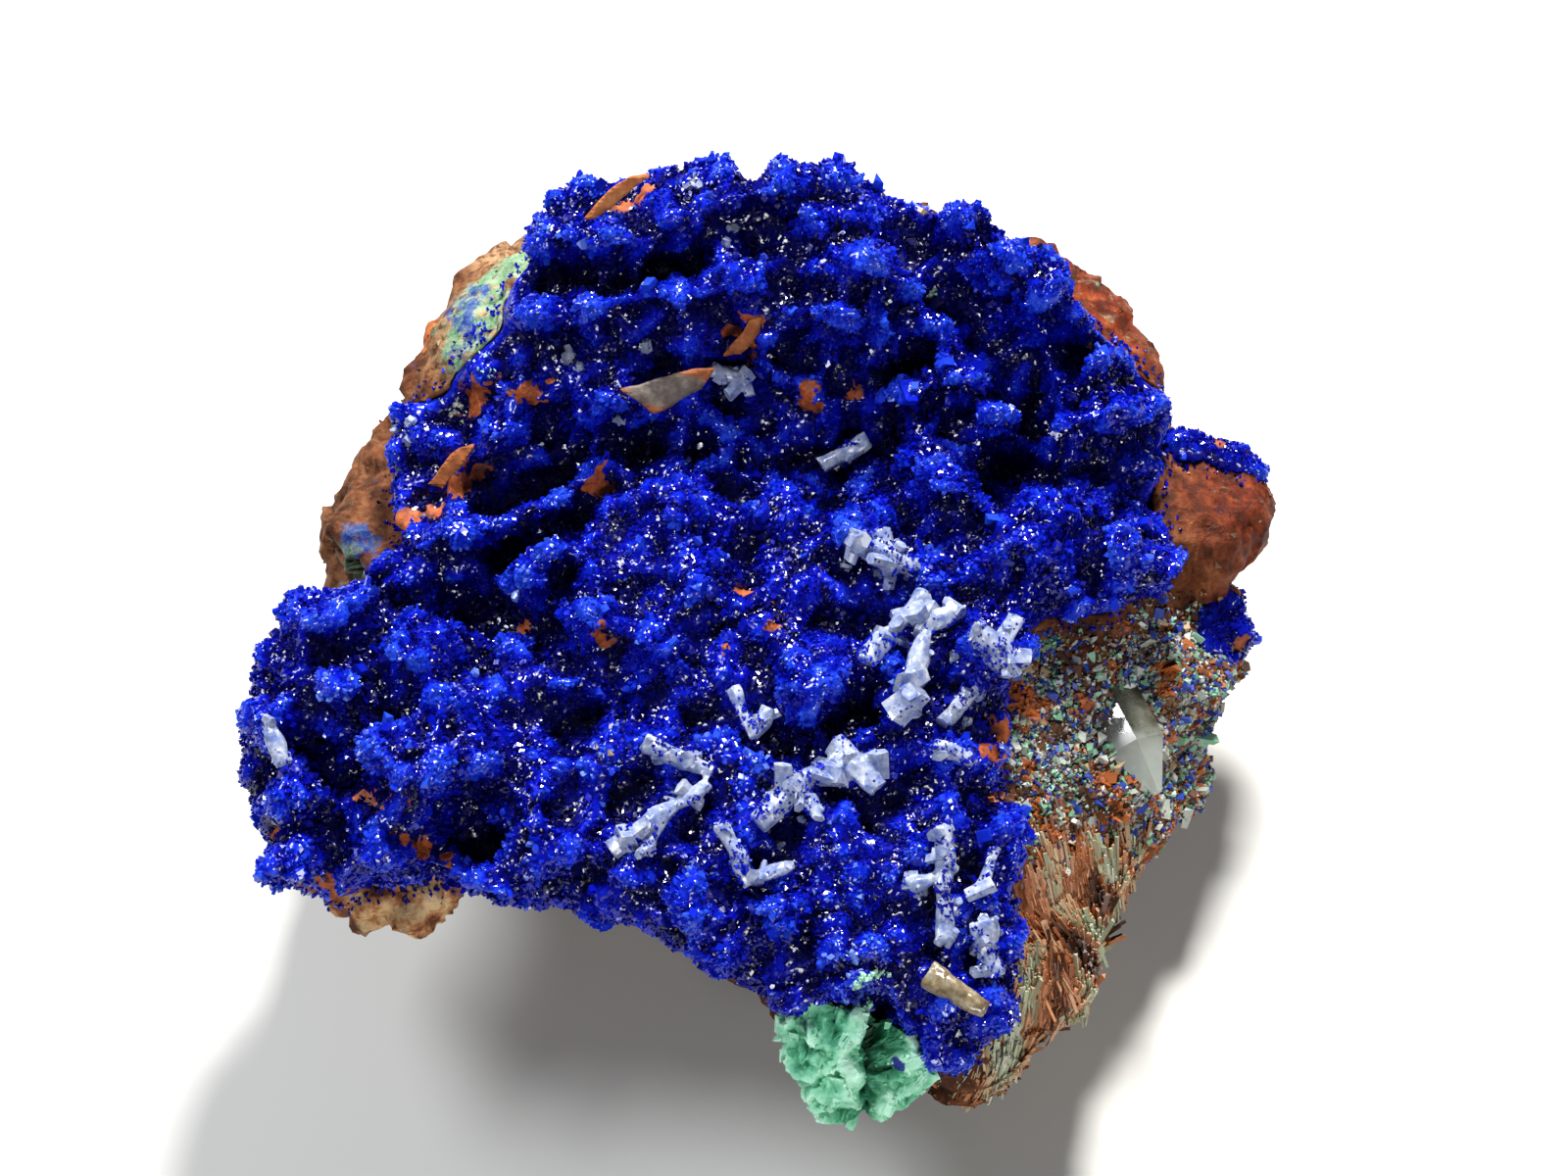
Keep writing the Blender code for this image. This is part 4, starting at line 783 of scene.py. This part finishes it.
def rockBody(otherTrees):
    body = remeshed(copyOfNode(["matrix_rock"], "rock_body"), rock["voxel"], 1)
    mesh = body.data
    points, normals = meshArrays(mesh)
    foot = smoothStep((points[:, 2] - 0.02) / 0.5)
    for searchTree, reach in zip(otherTrees, rock["reaches"]):
        distances, places = nearest(searchTree, points, reach)
        pull = 0.95 * (1 - smoothStep((distances - 0.45) / (reach - 0.45)))
        points = points + (places - points) * pull[:, None]
    layered = ripple(points * np.array([1, 1, 3.0]), 1.3, 2.0)
    lumps = rock["lumpHeight"] * (cells(points, rock["lumpSize"], 6.0) - 0.55)
    rough = rock["roughHeight"] * (cells(points, 0.45, 2.0) - 0.5) + 0.05 * ripple(points, 0.22)
    flank = regionMask(points, (7.2, -5.6, 3.0), (2.6, 4.2, 2.6))
    comb = np.abs(np.sin(5.0 * (points[:, 1] * 0.8 - points[:, 0] * 0.6)
                         + 2.2 * ripple(points, 1.4)))
    strip = regionMask(points, (-8.6, -5.6, 5.2), (2.4, 1.4, 1.4))
    knobbly = 0.5 * strip * (cells(points, 0.62, 4.0) - 0.5)
    height = lumps + rough + 0.09 * layered + 0.14 * flank * (comb - 0.7) + knobbly
    away = smoothStep((nearest(otherTrees[0], points, 1.6)[0] - 0.4) / 1.0) * (1 - flank)
    largeSize, largeHeight = rock["largeFaces"]
    smallSize, smallHeight = rock["smallFaces"]
    largeFaces, cracks = broken(points * np.array([1, 1, 1.5]), largeSize, 4.0)
    smallFaces, fineCracks = broken(points * np.array([1, 1, 1.3]), smallSize, 9.0)
    calm = np.maximum(regionMask(points, (12.0, 4.8, 6.6), (2.4, 2.6, 2.6)),
                      regionMask(points, (-7.0, 8.2, 10.0), (3.2, 4.0, 3.0)))
    calm = np.maximum(calm, regionMask(points, (9.0, 0.0, 4.4), (3.2, 3.6, 2.4)))
    away = away * (1 - 0.8 * calm)
    height += away * (largeHeight * largeFaces + smallHeight * smallFaces
                      - rock["crackDepth"] * cracks)
    # where the cracks between the broken faces get painted shade
    crease = np.maximum(cracks, 0.6 * fineCracks) * smoothStep(0.5 + 2 * ripple(points, 1.2, 7.0))
    points = points + normals * (height * foot)[:, None]
    points[:, 2] = np.maximum(points[:, 2], 0.0)
    setPoints(mesh, points)
    bandRight = regionMask(points, (8.2, 8.6, 10.2), (3.0, 2.6, 3.2))
    spur = regionMask(points, (12.0, 4.8, 6.6), (2.2, 2.2, 2.4))
    terrace = regionMask(points, (9.0, 0.0, 4.4), (2.8, 3.2, 1.8))
    leftSide = regionMask(points, (-10.4, 5.0, 6.0), (2, 3, 2))
    seen = tree(body)
    stains = {name: patchMask(points, seen, patches) for name, patches in rockStains.items()}
    paint(mesh, "red", np.clip(bandRight + spur + 0.3 * flank + 0.25 * leftSide, 0, 1))
    paint(mesh, "green", np.clip(stains["green"] + 0.5 * terrace + 0.2 * bandRight, 0, 1))
    paint(mesh, "blue", np.clip(stains["blue"] + 0.55 * terrace, 0, 1))
    paint(mesh, "orange", np.clip(stains["orange"], 0, 1))
    paint(mesh, "cream", strip)
    paint(mesh, "tan", np.clip(stains["tan"] + 0.4 * strip + 0.5 * (flank + terrace) + 0.25 * leftSide,
                               0, 1))
    # painted shade in the cracks
    paint(mesh, "crease", crease * away)
    return body


def pickKinds(place, size, names, rng, mixing=0.3):
    # neighbours mostly share a kind, so the grains form streaks and patches
    values = np.array([kinds[name] for name in names])
    broad = 0.5 + 1.1 * ripple(place, size, 13.0) + mixing * rng.normal(size=len(place))
    return values[np.clip((broad * len(names)).astype(int), 0, len(names) - 1)]


def rockGrit(body, terrace, outer, finish, rng):
    weights = terrace + 0.002 * outer
    place, normal, vertex = scatterOn(body.data, weights, rock["gritCount"], rng)
    size = rock["gritSize"] * np.exp(rng.normal(0, 0.5, len(place)))
    grit, owners = crystalCloud("rock_grit", gritShapes, place, normal, size, 0.6, rng)
    names = ("brown", "grey", "blue", "green", "grey", "mint", "blue", "white", "grey", "blue",
             "green", "tan", "rust")
    kind = pickKinds(place, 0.7, names, rng)
    rusty = patchMask(place, tree(body), rockStains["orange"])
    kind[rusty > 0.3 + 0.4 * rng.random(len(place))] = kinds["rust"]
    lone = terrace[vertex] < 0.05
    kind[lone] = pickKinds(place[lone], 1.0, ("brown", "rust", "tan", "brown"), rng)
    paint(grit.data, "kind", kind[owners])
    paint(grit.data, "shade", rng.random(len(place))[owners])
    finishPiece(grit, finish)


def rockFibres(mesh, flank, finish, rng):
    # narrow fibres that hang down the flank like thatch
    _, normals = meshArrays(mesh)
    calm = unit(relaxed(mesh, normals, 14))
    place, _, vertex = scatterOn(mesh, flank, rock["fibreCount"], rng)
    size = rock["fibreSize"] * np.exp(rng.normal(0, 0.3, len(place)))
    keep = place[:, 2] > 0.1 + 11 * size
    place, size, side = place[keep], size[keep], calm[vertex[keep]]
    down = np.array([-0.25, -0.15, -1.0]) + 0.045 * rng.normal(size=(len(place), 3))
    down = down - 0.92 * side * np.sum(down * side, axis=1)[:, None]
    shapes = [crystalShape(3, 0.7, (0.1, 0.0), 12.0), crystalShape(4, 0.6, (0.0, 0.1), 8.0),
              crystalShape(3, 0.5, (0.1, 0.0), 15.0)]
    place = place - 0.03 * side
    fibres, owners = crystalCloud("rock_fibres", shapes, place, unit(down), size, 0.02, rng)
    bundle = ripple(place * np.array([1, 1, 0.3]), 0.75, 13.0)
    tone = 0.43 + 0.9 * bundle + 0.06 * rng.normal(size=len(place))
    paint(fibres.data, "kind", np.clip(tone, 0, 1)[owners])
    paint(fibres.data, "shade", rng.random(len(place))[owners])
    finishPiece(fibres, finish)


def rockDetails(body, crustTree, grainFinish, gritFinish):
    rng = np.random.default_rng(23)
    mesh = body.data
    points, _ = meshArrays(mesh)
    near, _ = nearest(crustTree, points, 1.6)
    edge = smoothStep((0.6 - near) / 0.5) * (near > 0.1)
    outer = (near > 0.2) * (points[:, 2] > 0.6)
    wall = regionMask(points, (6.9, -1.0, 5.6), (1.6, 3.2, 2.6))
    terrace = np.maximum(regionMask(points, (9.0, 0.0, 4.8), (3.4, 3.4, 2.4)), wall) * outer
    rockGrit(body, terrace, outer, gritFinish, rng)
    flank = regionMask(points, (7.0, -5.6, 3.0), (2.6, 4.0, 2.6)) * outer
    rockFibres(mesh, flank, fibreFinish(), rng)
    spurTop = regionMask(points, (11.9, 5.9, 7.7), (1.9, 0.7, 0.7)) * outer
    place, normal, _ = scatterOn(mesh, edge + 0.4 * spurTop, rock["edgeGrains"], rng)
    size = rock["edgeSize"] * np.exp(rng.normal(0, 0.3, len(place)))
    edging, owners = crystalCloud("azurite_edging", grainShapes, place, normal, size, 0.5, rng)
    paint(edging.data, "shade", rng.random(len(place))[owners])
    paint(edging.data, "frost", 0.6 * (rng.random(len(place)) < 0.1)[owners])
    # an even middle amount of painted hollow shade
    paint(edging.data, "hollow", np.full(len(edging.data.vertices), 0.5))
    finishPiece(edging, grainFinish)
    print("rock grit, fibres and edging")


# malachite

malachite = {
    "voxel": 0.055, "foldSize": 1.15, "foldHeight": 0.34, "creaseSize": 0.5, "creaseHeight": 0.18,
    "splinterSize": 0.2, "splinterHeight": 0.06, "gapDepth": 0.36, "gapWidth": 0.15,
    "chips": 420, "chipSize": 0.12, "spot": (3.24, -10.29, 0.26),
}


def ridges(points, size, shift):
    # sharp crests where the noise crosses zero
    return np.clip(1 - 2.3 * np.abs(ripple(points, size, shift)), 0, 1)


def malachiteCluster(crustTree, finish):
    cluster = remeshed(copyOfNode(["malachite_cluster"], "malachite"), malachite["voxel"], 1)
    mesh = cluster.data
    points, normals = meshArrays(mesh)
    distances, places = nearest(crustTree, points, 1.0)
    pull = 1 - smoothStep((distances - 0.35) / 0.5)
    points = points + (places - points) * pull[:, None]
    bent = points + 0.15 * np.stack([ripple(points, 0.6, shift) for shift in (1.0, 5.0, 9.0)], 1)
    folds = ridges(bent, malachite["foldSize"], 3.0)
    creases = ridges(bent, malachite["creaseSize"], 7.0)
    splinters = ridges(bent, malachite["splinterSize"], 11.0)
    local = faceCoordinates(points)
    across = local[:, 0] - 2.72 - 0.13 * (local[:, 1] + 10.0)
    gap = np.exp(-(across / malachite["gapWidth"]) ** 2)
    height = malachite["foldHeight"] * (folds - 0.5) + malachite["creaseHeight"] * (creases - 0.5)
    height += malachite["splinterHeight"] * (splinters - 0.5) - malachite["gapDepth"] * gap
    points = points + normals * height[:, None]
    setPoints(mesh, points)
    # lighter on the crests of the folds, darker in the hollows and the gap: painted highlight and
    # shade
    raised = np.clip(0.45 * folds + 0.35 * creases + 0.2 * splinters - 0.5 * gap, 0, 1)
    paint(mesh, "raised", raised)
    paint(mesh, "spot", patchMask(points, tree(cluster), [malachite["spot"]]))
    rng = np.random.default_rng(17)
    place, normal, vertex = scatterOn(mesh, 0.15 + raised, malachite["chips"], rng)
    size = malachite["chipSize"] * np.exp(rng.normal(0, 0.35, len(place)))
    chips, owners = crystalCloud("malachite_chips", gritShapes, place, normal, size, 0.7, rng)
    # each chip takes the painted ridge light of its place, a little lighter at random
    paint(chips.data, "raised", (raised[vertex] + 0.2 * rng.random(len(place)))[owners])
    paint(chips.data, "spot", np.zeros(len(chips.data.vertices)))
    finishPiece(chips, finish)
    return cluster


# pale crystals and flakes

paleNodes = ["lath_" + letter for letter in "abcdefghijklmnqrsu"]
lath = {"voxel": 0.05, "sink": 0.28, "knobSize": 0.4, "knobHeight": 0.05,
        "bendSize": 0.7, "bendHeight": 0.12, "crystals": 130, "crystalSize": 0.27,
        "specks": 5200, "speckSize": 0.08}

# small pale grains on the crust, as seen: u, v, size
paleSpots = [
    (-1.7, 12.8, 0.35), (-1.4, 12.5, 0.3), (-0.7, 11.4, 0.35), (-0.7, 11.0, 0.3),
    (-4.8, 7.6, 0.35), (-4.5, 7.3, 0.28), (-2.8, 7.95, 0.3), (-3.4, 5.9, 0.25),
    (2.7, 2.5, 0.3), (3.4, 2.4, 0.3), (2.2, 1.9, 0.22), (3.0, 1.6, 0.25), (3.7, 1.6, 0.2),
    (5.0, -2.2, 0.28), (5.3, -1.5, 0.28), (4.8, -0.6, 0.25), (2.4, -3.0, 0.3),
    (1.2, -4.6, 0.25), (3.8, -6.3, 0.25), (4.6, -6.6, 0.28), (5.2, -6.2, 0.28),
    (-8.7, 5.3, 0.45), (-8.5, 5.7, 0.35), (-8.9, 5.6, 0.3), (5.6, -7.2, 0.3), (4.9, -5.4, 0.2),
    (-1.9, -4.0, 0.22), (0.6, -5.2, 0.2), (4.2, -8.3, 0.25), (5.5, 0.0, 0.3),
]


def paleCrystals(nodes, name):
    laths = remeshed(copyOfNode(nodes, name), lath["voxel"], 1)
    mesh = laths.data
    points, normals = meshArrays(mesh)
    knobs = cells(points, lath["knobSize"], 5.0)
    bend = lath["bendHeight"] * ripple(points, lath["bendSize"])
    height = lath["knobHeight"] * (knobs - 0.62) + bend
    points = points + normals * height[:, None] - outward * lath["sink"]
    setPoints(mesh, points)
    return laths


def lathClusters(laths, paleFinish, grainFinish):
    # small crystals and azurite specks that grow on the laths
    rng = np.random.default_rng(31)
    everywhere = np.ones(len(laths.data.vertices))
    place, normal, _ = scatterOn(laths.data, everywhere, lath["crystals"], rng)
    size = lath["crystalSize"] * np.exp(rng.normal(0, 0.35, len(place)))
    shapes = [crystalShape(6, 0.75, (0.05, 0.0), 1.6), crystalShape(5, 0.8, (0.0, 0.08), 1.2)]
    clusters, _ = crystalCloud("lath_clusters", shapes, place - 0.1 * normal, normal, size, 1.2,
                               rng)
    finishPiece(clusters, paleFinish)
    place, normal, _ = scatterOn(laths.data, everywhere, lath["specks"], rng)
    keep = ripple(place, 0.8, 2.0) > 0.08
    place, normal = place[keep], normal[keep]
    size = lath["speckSize"] * np.exp(rng.normal(0, 0.3, len(place)))
    specks, owners = crystalCloud("azurite_specks", grainShapes, place, normal, size, 0.5, rng)
    paint(specks.data, "shade", rng.random(len(place))[owners])
    paint(specks.data, "frost", 0.5 * rng.random(len(place))[owners])
    # an even amount of painted hollow shade
    paint(specks.data, "hollow", np.full(len(specks.data.vertices), 0.4))
    finishPiece(specks, grainFinish)


# single coloured crumbs on the crust, as seen: u, v, size, kind, how many, spread
crumbs = [
    (4.54, 9.45, 0.2, "mint", 3, 0.1), (8.46, 7.97, 0.2, "yellow", 1, 0.0),
    (2.36, -8.44, 0.2, "mint", 7, 0.05), (2.5, -8.36, 0.2, "mint", 7, 0.05),
    (2.64, -8.3, 0.18, "mint", 6, 0.05), (2.78, -8.25, 0.17, "mint", 6, 0.04),
    (2.92, -8.22, 0.16, "mint", 5, 0.04), (3.08, -8.22, 0.15, "mint", 5, 0.04),
    (-3.4, -2.9, 0.25, "tan", 3, 0.12), (5.5, -3.9, 0.3, "rust", 4, 0.15),
    (-0.6, -0.2, 0.15, "rust", 5, 0.2), (0.6, 0.6, 0.15, "rust", 5, 0.2),
    (-7.0, 7.4, 0.11, "mint", 14, 0.3), (-7.6, 6.3, 0.2, "grey", 9, 0.3),
    (3.3, 9.2, 0.18, "mint", 1, 0.0), (6.0, 12.2, 0.2, "green", 2, 0.1),
    (-2.6, 5.3, 0.14, "mint", 3, 0.15), (4.3, 12.2, 0.4, "tan", 4, 0.25),
]


def crustCrumbs(skinTree, finish):
    rng = np.random.default_rng(7)
    places = []
    normals = []
    sizes = []
    kind = []
    for u, v, size, name, count, spread in crumbs:
        for _ in range(count):
            place, normal = seenPoint(skinTree, u + spread * rng.normal(),
                                      v + spread * rng.normal())
            if place is not None:
                places.append(np.array(place))
                normals.append(np.array(normal))
                sizes.append(size * rng.uniform(0.6, 1.1))
                kind.append(kinds[name])
    grains, owners = crystalCloud("crust_crumbs", grainShapes, np.array(places),
                                  np.array(normals), np.array(sizes), 0.5, rng)
    paint(grains.data, "kind", np.array(kind)[owners])
    paint(grains.data, "shade", 0.4 * rng.random(len(kind))[owners])
    finishPiece(grains, finish)


def paleGrains(skinTree):
    rng = np.random.default_rng(5)
    places = []
    normals = []
    sizes = []
    for u, v, size in paleSpots:
        place, normal = seenPoint(skinTree, u, v)
        if place is None:
            continue
        for _ in range(3):
            offset = rng.normal(0, 0.35 * size, 3)
            places.append(np.array(place) + offset * 0.6)
            normals.append(np.array(normal))
            sizes.append(size * rng.uniform(0.5, 1.1))
    shapes = [crystalShape(6, 0.7, (0.05, 0.0), 1.1), crystalShape(5, 0.75, (0.0, 0.08), 0.9)]
    grains, _ = crystalCloud("pale_grains", shapes, np.array(places), np.array(normals),
                             np.array(sizes), 0.8, rng)
    return grains


flake = {"voxel": 0.07, "sink": 0.2, "wave": 0.05, "waveSize": 0.4}


def flakes(nodes):
    plates = remeshed(copyOfNode(nodes, "iron_flakes"), flake["voxel"], 1)
    mesh = plates.data
    points, normals = meshArrays(mesh)
    low = np.array(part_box("flake_grey")[0]) / mm
    high = np.array(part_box("flake_grey")[1]) / mm
    inside = np.all((points > low - 0.05) & (points < high + 0.05), axis=1)
    middle = (low + high) / 2
    centreShare = np.linalg.norm((points - middle) / (high - low), axis=1)
    paint(mesh, "grey", inside * smoothStep((0.52 - centreShare) / 0.15))
    waves = flake["wave"] * ripple(points, flake["waveSize"])
    points = points + normals * waves[:, None] - outward * flake["sink"]
    setPoints(mesh, points)
    return plates


def quartzCrystal():
    # the foot is clear and smoky, the point is milky
    crystal = copyOfNode(["quartz_crystal"], "quartz")
    work = bmesh.new()
    work.from_mesh(crystal.data)
    bmesh.ops.subdivide_edges(work, edges=work.edges[:], cuts=3, use_grid_fill=True)
    bmesh.ops.triangulate(work, faces=work.faces[:])
    work.to_mesh(crystal.data)
    work.free()
    points, _ = meshArrays(crystal.data)
    across = faceCoordinates(points)
    paint(crystal.data, "cloudy", smoothStep((-1.55 - across[:, 1]) / 0.9))
    return crystal


# light and floor

light = {
    "key": {"place": (15, 70, 100), "size": 18, "power": 0.3, "colour": (1.0, 0.98, 0.95)},
    "top": {"place": (-65, 20, 90), "size": 34, "power": 0.1, "colour": (0.95, 0.97, 1.0)},
    "front": {"place": (40, -120, 60), "size": 40, "power": 0.09, "colour": (1.0, 1.0, 1.0)},
    "target": (0, 0, 7), "world": 0.045, "sky": (0.9, 0.93, 1.0, 1), "floor": (0.62, 0.62, 0.6),
}


def addLight(name, place, size, power, colour):
    data = bpy.data.lights.new(name, "AREA")
    data.size = size * mm
    data.energy = power
    data.color = colour
    lamp = bpy.data.objects.new(name, data)
    bpy.context.scene.collection.objects.link(lamp)
    position = Vector(place) * mm
    aim = Vector(light["target"]) * mm - position
    turn = aim.to_track_quat("-Z", "Y").to_matrix().to_4x4()
    lamp.matrix_world = Matrix.Translation(position) @ turn


def studio():
    for name in ("key", "top", "front"):
        addLight(name, **light[name])
    world = bpy.data.worlds.new("studio")
    bpy.context.scene.world = world
    world.use_nodes = True
    background = world.node_tree.nodes["Background"]
    background.inputs["Color"].default_value = light["sky"]
    background.inputs["Strength"].default_value = light["world"]
    work = bmesh.new()
    bmesh.ops.create_grid(work, x_segments=1, y_segments=1, size=2.0)
    mesh = bpy.data.meshes.new("floor")
    work.to_mesh(mesh)
    work.free()
    floor = addObject("floor", mesh)
    look = Finish("paleFloor")
    mesh.materials.append(look.surface(Base_Color=light["floor"], Roughness=0.7))
    bpy.context.scene.view_settings.view_transform = "Standard"


# build

makeCamera()
studio()

rockTree = tree(copyOfNode(["matrix_rock"], "rock_guide"))
crustTree = tree(copyOfNode(["azurite_crust"], "crust_guide"))
guides = [tree(copyOfNode([name], name + "_guide"))
          for name in ("azurite_knob", "azurite_rim", "quartz_crystal")]
for thing in [o for o in bpy.data.objects if o.name.endswith("_guide")]:
    bpy.data.objects.remove(thing)

grainFinish = azuriteGrainFinish()
skinFinish = azuriteSkinFinish()
gritFinish = debrisFinish()

azuriteNodes = ("azurite_crust", "azurite_knob", "azurite_rim")
flakeNodes = ["flake_grey", "flake_left", "flake_orange", "flake_top"]
skins = [azuriteSkin(node, rockTree) for node in azuriteNodes]
skinTree = tree(skins[0])
print("azurite skins", [len(s.data.polygons) for s in skins])
azuriteGrains(skins, grainFinish)

rockBlock = rockBody([crustTree, *guides])
rockDetails(rockBlock, crustTree, grainFinish, gritFinish)
finishPiece(rockBlock, rockFinish(), ["matrix_rock"], True)
print("rock", len(rockBlock.data.polygons))

greenFinish = malachiteFinish()
finishPiece(malachiteCluster(crustTree, greenFinish), greenFinish,
            ["malachite_cluster"])
for skin, node in zip(skins, azuriteNodes):
    finishPiece(skin, skinFinish, [node], True)

paleStops = [(0.3, (0.1, 0.15, 0.46)), (0.48, (0.33, 0.4, 0.62)), (0.66, (0.64, 0.68, 0.78))]
tanStops = [(0.3, (0.12, 0.07, 0.03)), (0.5, (0.32, 0.25, 0.14)), (0.7, (0.55, 0.52, 0.4))]
paleFinish = lathFinish("paleLath", paleStops)
laths = paleCrystals(paleNodes, "pale_laths")
lathClusters(laths, paleFinish, grainFinish)
finishPiece(laths, paleFinish, paleNodes, True)
finishPiece(paleGrains(skinTree), paleFinish)
crustCrumbs(skinTree, gritFinish)
tanLath = paleCrystals(["lath_t"], "tan_lath")
finishPiece(tanLath, lathFinish("tanLath", tanStops), ["lath_t"], True)
finishPiece(flakes(flakeNodes), flakeFinish(), flakeNodes)
finishPiece(quartzCrystal(), quartzFinish(), ["quartz_crystal"])
print("minerals done")
